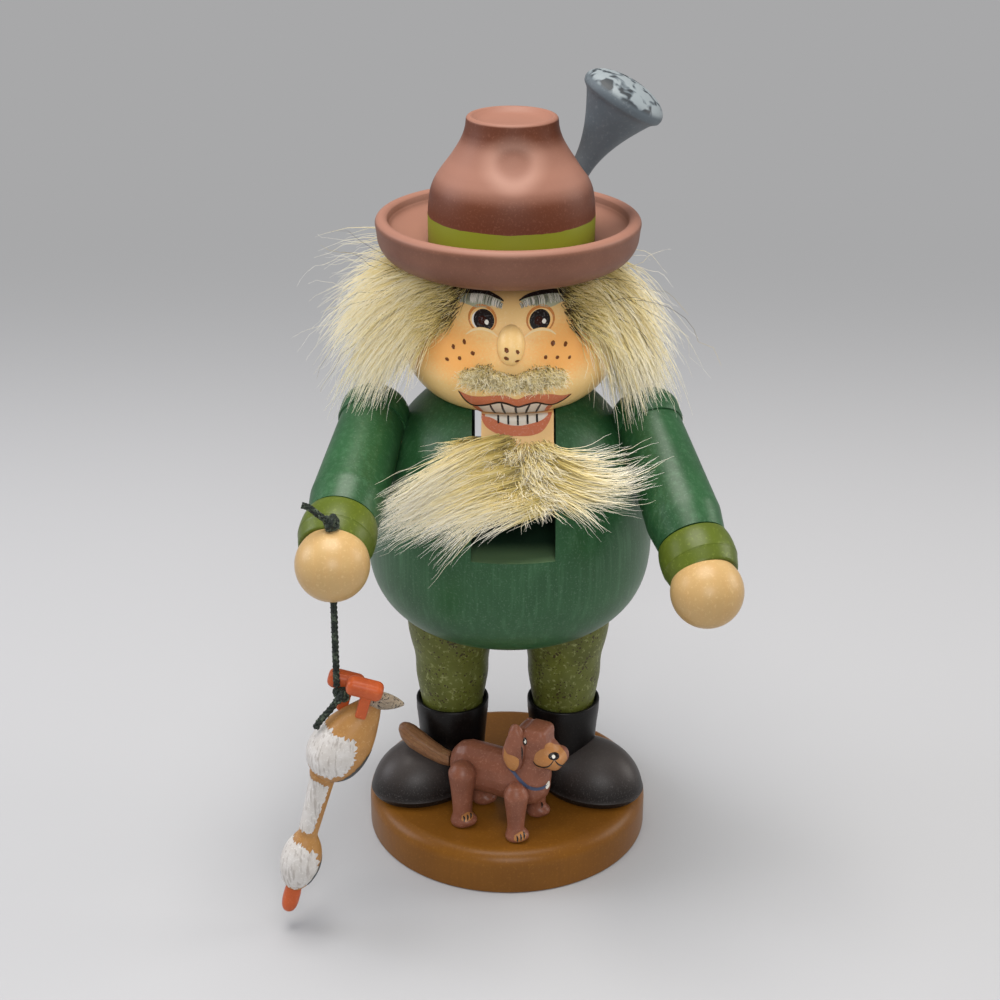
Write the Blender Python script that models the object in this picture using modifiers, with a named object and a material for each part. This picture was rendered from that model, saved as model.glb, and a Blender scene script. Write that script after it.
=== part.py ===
# Wooden nutcracker: a stout hunter on a round base, with a goose on a cord and a dog.
# Metres, +Z up. The figure faces -Y, and +X is its left hand.
# The origin is the centre of the base's underside.

import math

import bmesh
import bpy
from mathutils import Matrix, Vector

mm = 0.001

# Clearances
gap = 0.3 * mm                  # between two pieces that rest on each other
pin_clear = 0.4 * mm            # radial play of the jaw lever on its pin
round_steps = 32                # facets of a large turned piece
small_steps = 16                # facets of a small turned piece
bore_steps = 12                 # facets of a dowel and its bore

# Base disc
base_radius = 37.5 * mm
base_thickness = 11.7 * mm
base_edge_radius = 4.0 * mm

# Boots: an upright shaft with a clog-shaped foot in front of it
leg_spread = 14.9 * mm          # centre of a leg from the middle plane
boot_height = 25.3 * mm
boot_top_radius = 9.7 * mm
boot_ankle_radius = 8.6 * mm
boot_cup_depth = 1.6 * mm
boot_cup_wall = 0.9 * mm
foot_length = 31.0 * mm
foot_width = 24.0 * mm
foot_height = 14.0 * mm
foot_turn_out = 58.0            # degrees from straight ahead
foot_ahead = 8.9 * mm           # foot centre from the leg's axis, along the foot

# Breeches
breeches_knee_radius = 9.7 * mm
breeches_pinch_radius = 8.9 * mm
breeches_thigh_radius = 11.7 * mm
leg_dowel_radius = 2.5 * mm
leg_dowel_in_base = 6.0 * mm
leg_dowel_in_coat = 11.0 * mm

# Coat: the egg-shaped belly
coat_above_base = 50.5 * mm     # underside of the coat above the base's top
coat_radius = 36.5 * mm
coat_collar_radius = 18.2 * mm  # flat top
coat_belly_rise = 25.8 * mm     # underside to the widest line
coat_belly_depth = 27.0 * mm    # of the whole curve, before the underside cuts it flat
coat_belly_power = 2.8          # 2 is an ellipse, more is squarer
coat_chest_rise = 38.0 * mm     # widest line to the flat top

# Jaw lever in its slot
lever_width = 17.4 * mm
slot_clear_left = 0.5 * mm      # play towards the figure's left
slot_clear_right = 2.3 * mm     # play towards the figure's right
slot_centre = 0.8 * mm
slot_depth = 31.7 * mm          # slot floor below the coat's top
lever_lip = 2.0 * mm            # how far the teeth stand in front of the coat's collar
lever_lip_depth = 8.0 * mm
front_step = 4.0 * mm           # heights at which the chin and the beard follow the coat
lever_top_clear = 0.5 * mm
lever_opening = 25.0            # degrees the jaw opens
lever_floor_clear = 1.0 * mm    # left over the slot floor with the jaw open
lever_edge = 0.5 * mm
pin_drop = 16.0 * mm            # pin below the coat's top
pin_behind = 2.0 * mm           # pin behind the figure's axis
pin_radius = 1.5 * mm
pin_end_sink = 0.6 * mm
handle_thickness = 7.0 * mm
handle_stand_off = 2.6 * mm     # handle behind the coat's widest line
handle_end_height = 43.5 * mm   # lowest point of the handle above the base's top

# Head
head_radius = 25.8 * mm
head_jaw_radius = 19.4 * mm     # flat underside
head_crown_radius = 14.5 * mm   # flat top
head_jaw_rise = 10.2 * mm
head_crown_rise = 21.5 * mm
neck_dowel_offset = 14.5 * mm
neck_dowel_radius = 1.5 * mm
neck_dowel_reach = 7.5 * mm
nose_width = 6.6 * mm
nose_height = 9.6 * mm
nose_depth = 8.4 * mm
nose_above_jaw = 19.4 * mm      # nose centre above the head's underside
nose_stand_out = 1.0 * mm       # nose centre in front of the face
moustache_width = 26.4 * mm
moustache_height = 8.4 * mm
moustache_depth = 8.0 * mm
moustache_above_jaw = 9.6 * mm

# Hat
brim_radius = 32.0 * mm
brim_underside_radius = 20.0 * mm
brim_thickness = 5.1 * mm       # at the crown's foot
brim_rim_rise = 9.9 * mm        # rim above the brim's underside
brim_rim_radius = 1.5 * mm
brim_aside = -0.8 * mm          # the brim sits a little off the crown's centre
crown_radius = 20.1 * mm
crown_height = 30.1 * mm
crown_band_height = 6.8 * mm
crown_top_radius = 10.8 * mm
crown_dish = 1.6 * mm
hat_dowel_radius = 4.0 * mm
hat_dowel_in_head = 7.0 * mm
hat_dowel_in_crown = 9.0 * mm
plume_length = 23.6 * mm
plume_stem_radius = 2.6 * mm
plume_top_radius = 10.4 * mm
plume_dome = 4.5 * mm
plume_in_crown = 3.0 * mm
plume_height_on_crown = 17.4 * mm
plume_lean = 30.0               # degrees away from upright

# Hair and beard, as plain solids of the fur's outer shape
tuft_width = 27.0 * mm
tuft_depth = 25.0 * mm
tuft_height = 40.0 * mm
tuft_out = 5.5 * mm             # tuft centre outside the head's widest line
tuft_above_jaw = 12.5 * mm
back_hair_thickness = 6.5 * mm
back_hair_top = 5.0 * mm        # below the head's flat top
back_hair_bottom = 2.5 * mm     # above the head's underside
back_hair_edge = 6.0 * mm       # front edge behind the figure's axis
beard_thickness = 4.2 * mm
beard_top_below_coat = 5.0 * mm
beard_root_width = 17.0 * mm
beard_drop = 29.5 * mm
beard_reach_right = 27.5 * mm
beard_reach_left = 26.5 * mm

# Arms
arm_length = 53.2 * mm          # shoulder centre to the end in the hand
arm_radius = 8.1 * mm           # at the shoulder
arm_flare_radius = 9.2 * mm     # at the ridge of the sleeve
arm_flare_from_hand = 20.6 * mm
wrist_radius = 8.3 * mm
shoulder_height = 57.3 * mm     # above the coat's underside
shoulder_spread = 33.6 * mm     # shoulder centre from the middle plane
shoulder_ahead = 2.0 * mm
shoulder_cap_radius = 8.7 * mm
shoulder_cap_length = 10.0 * mm
cuff_radius = 9.2 * mm
cuff_top_radius = 8.5 * mm
cuff_low_radius = 7.9 * mm
cuff_length = 10.0 * mm
cuff_from_hand = 3.8 * mm
cuff_band_from_hand = 7.5 * mm  # corner between the cuff's band and its turned-in end
hand_radius = 8.7 * mm
hand_inward = 0.8 * mm          # hand centre inwards of the arm's axis
arm_dowel_radius = 2.0 * mm
arm_dowel_from_hand = 45.5 * mm
arm_dowel_below = 3.4 * mm      # under the arm's axis, where the arm meets the coat
arm_dowel_in_arm = 4.0 * mm
arm_dowel_in_coat = 7.0 * mm
hand_dowel_radius = 1.5 * mm
hand_dowel_start = 3.5 * mm
hand_dowel_length = 16.0 * mm
right_arm_spread, right_arm_drop = 9.2, 19.7      # degrees out from ahead, degrees down
left_arm_spread, left_arm_drop = 17.1, 30.9

# Cord
cord_radius = 0.85 * mm
cord_bore_radius = 1.2 * mm
cord_pivot_gap = 0.3 * mm
cord_drop = 23.1 * mm           # hand's underside to the goose's knot
knot_radius = 2.2 * mm
knot_height = 4.0 * mm
knot_aside = 0.9 * mm          # goose's knot beside the cord
top_tail_length = 4.4 * mm
low_tail_length = 7.5 * mm

# Goose, hanging head down; across is +X and down is -Z from the goose's knot
goose_body_length = 24.5 * mm
goose_body_radius = 6.9 * mm
goose_body_across, goose_body_down = -4.7 * mm, 21.6 * mm   # breast end of the body
goose_body_lean = 34.2          # degrees from upright, rump towards +X
goose_neck_length = 17.6 * mm
goose_neck_radius = 2.7 * mm
goose_head_length = 16.0 * mm
goose_head_radius = 5.0 * mm
goose_neck_lean = 14.4          # degrees from upright, head towards -X
beak_length = 7.6 * mm
beak_radius = 2.1 * mm
goose_tail_length = 7.2 * mm
goose_tail_radius = 1.9 * mm
goose_tail_dip = 10.0           # degrees below level
goose_foot_length = 8.6 * mm
goose_foot_height = 3.9 * mm
goose_foot_depth = 3.6 * mm
goose_foot_edge = 0.8 * mm
goose_leg_thickness = 2.6 * mm
goose_foot_tip = 16.0           # degrees that the feet tip down towards +X
goose_hind_foot = (2.0 * mm, 2.2 * mm)   # centre across and above the knot
goose_fore_foot = (6.9 * mm, 3.5 * mm)

# Dog, in its own frame: +X ahead, +Z up from the base's top
dog_place = (-2.0 * mm, -20.5 * mm)
dog_heading = -26.1             # degrees from +X
dog_body_length = 28.6 * mm
dog_body_height = 14.0 * mm
dog_body_width = 10.0 * mm
dog_belly_height = 7.6 * mm
dog_leg_spacing = 15.6 * mm
dog_leg_side = 6.7 * mm
dog_hind_leg_height = 18.8 * mm
dog_front_leg_height = 16.6 * mm
dog_leg_radius = 2.4 * mm
dog_hip_radius = 3.2 * mm
dog_paw_radius = 2.8 * mm
dog_neck_radius = 4.7 * mm
dog_neck_ahead = 9.2 * mm
dog_skull_size = (10.6 * mm, 10.0 * mm, 12.4 * mm)
dog_skull_height = 26.9 * mm
dog_muzzle_size = (11.6 * mm, 8.6 * mm, 7.8 * mm)
dog_muzzle_ahead = 4.4 * mm
dog_muzzle_below = 3.6 * mm
dog_ear_size = (5.0 * mm, 2.2 * mm, 12.4 * mm)
dog_ear_behind = 3.6 * mm
dog_ear_below = 1.0 * mm
dog_tail_length = 17.2 * mm
dog_tail_radius = 2.5 * mm
dog_tail_root_height = 14.1 * mm

# Colours as linear red, green and blue, with a roughness
paints = {
    "golden_stain": ((0.26, 0.11, 0.03), 0.45),
    "boot_black": ((0.02, 0.018, 0.017), 0.35),
    "breeches_green": ((0.17, 0.22, 0.06), 0.6),
    "coat_green": ((0.03, 0.10, 0.04), 0.4),
    "bare_beech": ((0.73, 0.52, 0.28), 0.55),
    "skin": ((0.72, 0.44, 0.23), 0.4),
    "hat_brown": ((0.28, 0.09, 0.06), 0.4),
    "plume_grey": ((0.11, 0.14, 0.16), 0.6),
    "fur": ((0.62, 0.54, 0.32), 0.9),
    "cuff_green": ((0.20, 0.27, 0.03), 0.45),
    "steel": ((0.5, 0.5, 0.5), 0.35),
    "cord_green": ((0.02, 0.03, 0.02), 0.9),
    "goose_ochre": ((0.40, 0.20, 0.05), 0.5),
    "goose_orange": ((0.50, 0.09, 0.03), 0.45),
    "goose_slate": ((0.12, 0.12, 0.12), 0.5),
    "dog_brown": ((0.16, 0.06, 0.035), 0.45),
}

# Heights and places that follow from the sizes
base_top = base_thickness
boot_foot_z = base_top + gap
boot_top = base_top + boot_height
coat_bottom = base_top + coat_above_base
coat_waist = coat_bottom + coat_belly_rise
coat_top = coat_waist + coat_chest_rise
slot_floor = coat_top - slot_depth
head_bottom = coat_top + gap
head_waist = head_bottom + head_jaw_rise
head_top = head_waist + head_crown_rise
brim_bottom = head_top + gap
brim_seat = brim_bottom + brim_thickness
crown_bottom = brim_seat + gap
crown_top = crown_bottom + crown_height
pin_centre = Vector((slot_centre, pin_behind, coat_top - pin_drop))
slot_width = lever_width + slot_clear_left + slot_clear_right
lever_centre = slot_centre + (slot_clear_right - slot_clear_left) / 2
front_steps = math.ceil((beard_top_below_coat + beard_drop) / front_step)


def clear_scene():
    for thing in list(bpy.data.objects):
        bpy.data.objects.remove(thing, do_unlink=True)
    for group in list(bpy.data.collections):
        bpy.data.collections.remove(group)


def new_collection(name):
    group = bpy.data.collections.new(name)
    bpy.context.scene.collection.children.link(group)
    return group


def new_material(name, paint):
    colour, roughness = paints[paint]
    material = bpy.data.materials.new(name)
    material.use_nodes = True
    shader = material.node_tree.nodes["Principled BSDF"]
    shader.inputs["Base Color"].default_value = (*colour, 1.0)
    shader.inputs["Roughness"].default_value = roughness
    shader.inputs["Metallic"].default_value = 1.0 if paint == "steel" else 0.0
    material.diffuse_color = (*colour, 1.0)
    return material


def add_object(name, data, place=None, paint=None):
    # With a paint the object is a piece of the figure, without one it is a cutter.
    thing = bpy.data.objects.new(name, data)
    thing.matrix_world = place or Matrix.Identity(4)
    if paint:
        pieces.objects.link(thing)
        data.materials.append(new_material(name, paint))
    else:
        cutters.objects.link(thing)
        thing.hide_render = True
        thing.display_type = "WIRE"
    return thing


def turned(name, profile, place=None, paint=None, steps=round_steps, closed=False):
    # A profile of (radius, height) points, from top to bottom down the outer side.
    mesh = bpy.data.meshes.new(name)
    edges = [(i, i + 1) for i in range(len(profile) - 1)]
    if closed:
        edges.append((len(profile) - 1, 0))
    mesh.from_pydata([(r, 0, z) for r, z in profile], edges, [])
    thing = add_object(name, mesh, place, paint)
    screw = thing.modifiers.new("Turning", "SCREW")
    screw.axis = "Z"
    screw.steps = steps
    screw.render_steps = steps
    screw.use_merge_vertices = True
    screw.merge_threshold = 0.00001
    screw.use_smooth_shade = True
    return thing


def rod(name, radius, start, end, paint=None, steps=bore_steps):
    start, end = Vector(start), Vector(end)
    mesh = bpy.data.meshes.new(name)
    shape = bmesh.new()
    bmesh.ops.create_cone(shape, cap_ends=True, segments=steps, radius1=radius, radius2=radius,
                          depth=(end - start).length)
    shape.to_mesh(mesh)
    shape.free()
    place = aimed((start + end) / 2, end - start)
    thing = add_object(name, mesh, place, paint)
    mesh.shade_smooth()
    mesh.set_sharp_from_angle(angle=math.radians(40))
    return thing


def box(name, low, high, place=None, paint=None, edge=0.0):
    low, high = Vector(low), Vector(high)
    mesh = bpy.data.meshes.new(name)
    shape = bmesh.new()
    bmesh.ops.create_cube(shape, size=1.0)
    bmesh.ops.scale(shape, vec=high - low, verts=shape.verts)
    bmesh.ops.translate(shape, vec=(low + high) / 2, verts=shape.verts)
    shape.to_mesh(mesh)
    shape.free()
    thing = add_object(name, mesh, place, paint)
    if edge:
        round_edges(thing, edge)
    return thing


def ellipsoid(name, size, place, paint=None, grow=0.0, across=16, up=10):
    mesh = bpy.data.meshes.new(name)
    shape = bmesh.new()
    bmesh.ops.create_uvsphere(shape, u_segments=across, v_segments=up, radius=1.0)
    half = Vector(size) / 2 + Vector((grow, grow, grow))
    bmesh.ops.scale(shape, vec=half, verts=shape.verts)
    shape.to_mesh(mesh)
    shape.free()
    mesh.shade_smooth()
    return add_object(name, mesh, place, paint)


def tube(name, points, radii, paint=None, resolution=2):
    # A poly curve, turned into a mesh with welded caps so that it can be joined or cut.
    curve = bpy.data.curves.new(name, "CURVE")
    curve.dimensions = "3D"
    curve.bevel_depth = 1.0
    curve.bevel_resolution = resolution
    curve.use_fill_caps = True
    spline = curve.splines.new("POLY")
    spline.points.add(len(points) - 1)
    for point, place, radius in zip(spline.points, points, radii):
        point.co = (*place, 1.0)
        point.radius = radius
    return welded(name, curve, paint)


def welded(name, curve, paint, place=None):
    guide = add_object(name + "_guide", curve, place)
    bpy.context.view_layer.update()
    evaluated = guide.evaluated_get(bpy.context.evaluated_depsgraph_get())
    mesh = bpy.data.meshes.new_from_object(evaluated)
    shape = bmesh.new()
    shape.from_mesh(mesh)
    bmesh.ops.remove_doubles(shape, verts=shape.verts, dist=0.00001)
    bmesh.ops.recalc_face_normals(shape, faces=shape.faces)
    shape.to_mesh(mesh)
    shape.free()
    mesh.materials.clear()
    thing = add_object(name, mesh, guide.matrix_world.copy(), paint)
    bpy.data.objects.remove(guide, do_unlink=True)
    mesh.shade_smooth()
    mesh.set_sharp_from_angle(angle=math.radians(50))
    return thing


def plate(name, outline, thickness, place, paint=None):
    # A flat outline in the plate's own plane, half its thickness to each side.
    curve = bpy.data.curves.new(name, "CURVE")
    curve.dimensions = "2D"
    curve.fill_mode = "BOTH"
    curve.extrude = thickness / 2
    spline = curve.splines.new("POLY")
    spline.points.add(len(outline) - 1)
    for point, (across, up) in zip(spline.points, outline):
        point.co = (across, up, 0, 1)
    spline.use_cyclic_u = True
    return welded(name, curve, paint, place)


def round_edges(thing, width, angle=50.0):
    bevel = thing.modifiers.new("Rounded edges", "BEVEL")
    bevel.width = width
    bevel.segments = 2
    bevel.limit_method = "ANGLE"
    bevel.angle_limit = math.radians(angle)


def combine(thing, others, operation="DIFFERENCE"):
    for other in others:
        boolean = thing.modifiers.new(operation.title() + " " + other.name, "BOOLEAN")
        boolean.operation = operation
        boolean.solver = "EXACT"
        boolean.object = other


def aimed(origin, direction):
    # A frame at origin whose +Z points along direction.
    turn = Vector(direction).to_track_quat("Z", "Y").to_matrix().to_4x4()
    return Matrix.Translation(origin) @ turn


def shifted(x, y, z):
    return Matrix.Translation((x, y, z))


def ellipse(centre_z, radius, height, first, last, count):
    # Points on a quarter or half ellipse, by angle in degrees above the widest line.
    points = []
    for i in range(count + 1):
        angle = math.radians(first + (last - first) * i / count)
        across = radius * math.cos(angle) if abs(angle) < math.pi / 2 else 0.0
        points.append((across, centre_z + height * math.sin(angle)))
    return points


def rising(radius, top_radius, waist_z, rise, count):
    # An elliptic side from the flat top down to the widest line.
    top = math.acos(top_radius / radius)
    return ellipse(waist_z, radius, rise / math.sin(top), math.degrees(top), 0, count)


def coat_outline():
    # Below the widest line the belly is squarer than an ellipse, down to a flat underside.
    points = [(0, coat_top)] + rising(coat_radius, coat_collar_radius, coat_waist, coat_chest_rise, 6)
    for part in (0.3, 0.5, 0.66, 0.8, 0.9, 1.0):
        drop = coat_belly_rise * part
        across = (1 - (drop / coat_belly_depth) ** coat_belly_power) ** (1 / coat_belly_power)
        points.append((coat_radius * across, coat_waist - drop))
    return points + [(0, coat_bottom)]


def head_outline():
    bottom = math.acos(head_jaw_radius / head_radius)
    lower = ellipse(head_waist, head_radius, head_jaw_rise / math.sin(bottom), 0, -math.degrees(bottom), 4)
    upper = rising(head_radius, head_crown_radius, head_waist, head_crown_rise, 5)
    return [(0, head_top)] + upper + lower[1:] + [(0, head_bottom)]


def grown(profile, amount):
    # The same profile moved outwards by amount, for a cutter that leaves a gap.
    points = []
    last = len(profile) - 1
    for i, (radius, height) in enumerate(profile):
        before = profile[max(i - 1, 0)]
        after = profile[min(i + 1, last)]
        first = Vector((height - before[1], radius - before[0]))
        second = Vector((after[1] - height, after[0] - radius))
        normals = [Vector((-step.x, step.y)).normalized() for step in (first, second) if step.length]
        normal = sum(normals, Vector((0, 0)))
        normal.normalize()
        reach = amount / max(normal.dot(normals[0]), 0.5)
        points.append((max(radius + normal.x * reach, 0.0) if radius else 0.0,
                       height + normal.y * reach))
    return points


def radius_at(profile, height):
    # The profile's radius at a height, by a straight line between its points.
    for (r0, z0), (r1, z1) in zip(profile[1:-1], profile[2:-1]):
        if z1 <= height <= z0 and z0 > z1:
            return r0 + (r1 - r0) * (z0 - height) / (z0 - z1)
    return 0.0


coat_profile = coat_outline()
head_profile = head_outline()


def make_base():
    edge = base_edge_radius
    rim = [(base_radius - edge + edge * math.sin(a), base_top - edge + edge * math.cos(a))
           for a in (math.radians(90 * i / 3) for i in range(4))]
    foot = [(base_radius, edge / 8), (base_radius - edge / 8, 0), (0, 0)]
    disc = turned("base_disc", [(0, base_top)] + rim + foot, paint="golden_stain", steps=40)
    combine(disc, [leg_bores[side] for side in sides])


def make_leg(side, name):
    x = side * leg_spread
    place = shifted(x, 0, 0)
    cup = boot_top - boot_cup_depth
    shaft_profile = [(0, cup), (boot_top_radius - boot_cup_wall, cup),
                     (boot_top_radius - boot_cup_wall, boot_top), (boot_top_radius, boot_top),
                     (boot_top_radius - boot_cup_wall / 2, boot_top - boot_height / 4),
                     (boot_ankle_radius, base_top + boot_height * 0.4),
                     (boot_ankle_radius, boot_foot_z), (0, boot_foot_z)]
    shaft = turned(name + "_boot_shaft", shaft_profile, place, "boot_black", steps=20)
    shaft_cutter = turned(name + "_shaft_cutter", [
        (0, boot_top + gap), (boot_top_radius + gap, boot_top + gap),
        (boot_ankle_radius + gap, base_top + boot_height * 0.4),
        (boot_ankle_radius + gap, base_top - gap), (0, base_top - gap)], place, steps=20)
    combine(shaft, [leg_bores[side]])

    half = foot_width / 2
    foot_profile = ellipse(boot_foot_z, half, foot_height, 90, 12, 5)
    foot_profile += [(half * 0.94, boot_foot_z), (0, boot_foot_z)]
    turn = math.radians(-90 + side * foot_turn_out)
    ahead = Vector((math.cos(turn), math.sin(turn), 0)) * foot_ahead
    long = Matrix.Rotation(turn, 4, "Z") @ Matrix.Diagonal((foot_length / foot_width, 1, 1, 1))
    foot = turned(name + "_boot_foot", foot_profile, shifted(x + ahead.x, ahead.y, 0) @ long,
                  "boot_black", steps=20)
    combine(foot, [shaft_cutter])

    low = cup + gap
    rise = coat_bottom - low
    top = coat_bottom + coat_belly_rise * 0.35
    knee = boot_top_radius - boot_cup_wall - gap
    leg = turned(name + "_breeches", [
        (0, top), (breeches_thigh_radius, top),
        (breeches_thigh_radius, coat_bottom),
        (breeches_thigh_radius * 0.97, low + rise * 0.84),
        (breeches_pinch_radius, low + rise * 0.7),
        (breeches_knee_radius * 0.97, low + rise * 0.54),
        (breeches_knee_radius, low + rise * 0.4),
        (breeches_knee_radius * 0.96, low + rise * 0.22),
        (knee - gap, boot_top + gap), (knee - gap, low), (0, low)], place, "breeches_green", steps=18)
    combine(leg, [coat_cutter, leg_bores[side]])
    rod(name + "_leg_dowel", leg_dowel_radius, (x, 0, base_top - leg_dowel_in_base),
        (x, 0, coat_bottom + leg_dowel_in_coat), "bare_beech")


def make_coat():
    coat = turned("coat_body", coat_profile, paint="coat_green", steps=36)
    reach = coat_radius * 1.3
    low_x = slot_centre - slot_width / 2
    slot = box("slot_cutter", (low_x, -reach, slot_floor),
               (low_x + slot_width, reach, coat_top + slot_depth))
    side = math.sqrt(radius_at(coat_profile, pin_centre.z) ** 2 - pin_centre.y ** 2)
    low = Vector((-side + 4 * pin_end_sink, pin_centre.y, pin_centre.z))
    high = Vector((side - pin_end_sink, pin_centre.y, pin_centre.z))
    along = Vector((gap, 0, 0))
    pin_bore = rod("pin_bore", pin_radius + gap, low - along, high + 6 * along, steps=small_steps)
    rod("jaw_pin", pin_radius, low, high, "steel", steps=small_steps)
    combine(coat, [slot, pin_bore] + [leg_bores[s] for s in sides] + neck_bores)
    combine(coat, [arm_bores[s] for s in sides])
    return coat


def front_radius(height):
    # The chin stands in front of the coat's collar and runs out into its curve.
    below = (coat_top - height) / lever_lip_depth
    lip = lever_lip * (1 - min(max(below, 0.0), 1.0)) ** 1.5
    return radius_at(coat_profile, min(height, coat_top - gap)) + lip


def front_line(first, last):
    # Points down the chin and the coat's front, shared by what is turned to fit them.
    heights = [coat_top - front_step * i for i in range(first, last + 1)]
    return [(front_radius(z), z) for z in heights]


def make_lever():
    # The outline is drawn in the YZ plane about the pin, at rest.
    opening = math.radians(lever_opening)
    top = head_bottom - lever_top_clear - pin_centre.z
    floor = slot_floor + lever_floor_clear - pin_centre.z
    # The underside lies level, just over the slot's floor, when the jaw is open.
    heel = (floor * math.sin(opening), floor * math.cos(opening))
    front = -(coat_radius + lever_lip) - pin_centre.y
    front_low = heel[1] - (front - heel[0]) * math.tan(opening)
    back = coat_radius + handle_stand_off - pin_centre.y
    outer = back + handle_thickness
    end = base_top + handle_end_height - pin_centre.z
    waist = coat_waist - pin_centre.z
    outline = [(front, top), (front, front_low), heel, (back * 0.72, floor),
               (back - 0.6 * mm, floor - 0.4 * mm), (back + 0.4 * mm, waist),
               (back + 0.8 * mm, (waist + end) / 2), (back, end),
               (outer * 0.98, end - 0.8 * mm), (outer + 1.6 * mm, (waist + end) / 2),
               (outer + 1.0 * mm, waist), (outer - 1.0 * mm, waist + handle_thickness),
               (outer * 0.84, floor + handle_thickness), (outer * 0.55, floor + 2.2 * handle_thickness)]
    for angle in (50, 25, 0):
        turn = math.radians(angle)
        outline.append((top * math.sin(turn), top * math.cos(turn)))
    upright = Matrix(((0, 0, 1, 0), (1, 0, 0, 0), (0, 1, 0, 0), (0, 0, 0, 1)))
    place = Matrix.Translation((lever_centre, pin_centre.y, pin_centre.z)) @ upright
    lever = plate("jaw_lever", outline, lever_width, place, "coat_green")
    round_edges(lever, lever_edge)
    # The chin is turned round like the coat.
    inner = front_line(0, front_steps)
    inner = [(inner[0][0], head_bottom + gap)] + inner
    far = coat_radius * 2
    ring = [(far, inner[0][1]), (far, inner[-1][1])] + inner[::-1]
    chin = turned("chin_cutter", ring, steps=36, closed=True)
    half = box("chin_half", (-far * 1.1, -far * 1.1, coat_bottom), (far * 1.1, 0, coat_top * 1.5))
    combine(chin, [half], "INTERSECT")
    across = Vector((lever_width, 0, 0))
    centre = Vector((lever_centre, pin_centre.y, pin_centre.z))
    bore = rod("lever_bore", pin_radius + pin_clear, centre - across, centre + across,
               steps=small_steps)
    combine(lever, [chin, bore])


def make_head():
    head = turned("head", head_profile, paint="skin", steps=32)
    combine(head, neck_bores + [hat_bore])
    z = head_bottom + nose_above_jaw
    y = -radius_at(head_profile, z) - nose_stand_out
    nose = ellipsoid("nose", (nose_width, nose_depth, nose_height),
                     shifted(0, y, z) @ Matrix.Rotation(math.radians(-12), 4, "X"), "skin",
                     across=12, up=8)
    combine(nose, [head_cutter])
    z = head_bottom + moustache_above_jaw
    y = -radius_at(head_profile, z)
    moustache = ellipsoid("moustache", (moustache_width, moustache_depth, moustache_height),
                          shifted(0, y, z), "fur", across=14, up=6)
    combine(moustache, [head_cutter])


def brim_profile():
    # A bowl: flat seat for the crown, sloping dish, rolled rim, and a full round wall below.
    outer = brim_radius - brim_rim_radius
    rim_z = brim_bottom + brim_rim_rise
    rim = [(outer + brim_rim_radius * math.cos(a), rim_z + brim_rim_radius * math.sin(a))
           for a in (math.radians(120 - 45 * i) for i in range(4))]
    inner = crown_radius + gap
    span = brim_radius - brim_underside_radius
    wall = [(brim_underside_radius + span * across, brim_bottom + brim_rim_rise * up)
            for across, up in ((0.97, 0.58), (0.86, 0.36), (0.75, 0.21), (0.55, 0.1))]
    return [(0, brim_seat), (inner, brim_seat),
            (inner + (outer - inner) * 0.5, brim_seat + (rim_z - brim_seat) * 0.4)] + rim + wall + [
            (brim_underside_radius, brim_bottom), (0, brim_bottom)]


def crown_profile():
    # Band, bulge, concave shoulder and a dished top.
    band = crown_bottom + crown_band_height
    rise = crown_top - band
    span = crown_radius - crown_top_radius
    dish = crown_top - crown_dish
    return [(0, dish), (crown_top_radius * 0.62, dish), (crown_top_radius * 0.9, crown_top),
            (crown_top_radius, crown_top - 1.2 * mm), (crown_top_radius + span * 0.12, band + rise * 0.8),
            (crown_top_radius + span * 0.38, band + rise * 0.58),
            (crown_radius - span * 0.2, band + rise * 0.38),
            (crown_radius - span * 0.04, band + rise * 0.14),
            (crown_radius, band), (crown_radius, crown_bottom), (0, crown_bottom)]


def make_hat():
    brim = turned("hat_brim", brim_profile(), shifted(brim_aside, 0, 0), "hat_brown", steps=36)
    combine(brim, [hat_bore])
    crown = turned("hat_crown", crown_profile(), paint="hat_brown", steps=28)
    lean = math.radians(plume_lean)
    direction = Vector((math.sin(lean), 0, math.cos(lean)))
    z = crown_bottom + plume_height_on_crown
    origin = Vector((radius_at(crown_profile(), z), 0, z)) + Vector((0, pin_behind, 0))
    place = aimed(origin, direction)
    span = plume_top_radius - plume_stem_radius
    top = plume_length - plume_dome
    dome = ellipse(top, plume_top_radius, plume_dome, 90, 0, 4)
    flare = [(plume_stem_radius + span * part ** 1.7, top * part)
             for part in (0.93, 0.84, 0.7, 0.52, 0.34, 0.15, 0.0)]
    profile = dome + flare + [(plume_stem_radius, -plume_in_crown), (0, -plume_in_crown)]
    turned("hat_plume", profile, place, "plume_grey", steps=18)
    cutter = turned("plume_cutter", grown(profile, gap), place, steps=18)
    combine(crown, [hat_bore, cutter])
    rod("hat_dowel", hat_dowel_radius, (0, 0, head_top - hat_dowel_in_head),
        (0, 0, crown_bottom + hat_dowel_in_crown), "bare_beech", steps=small_steps)


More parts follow.
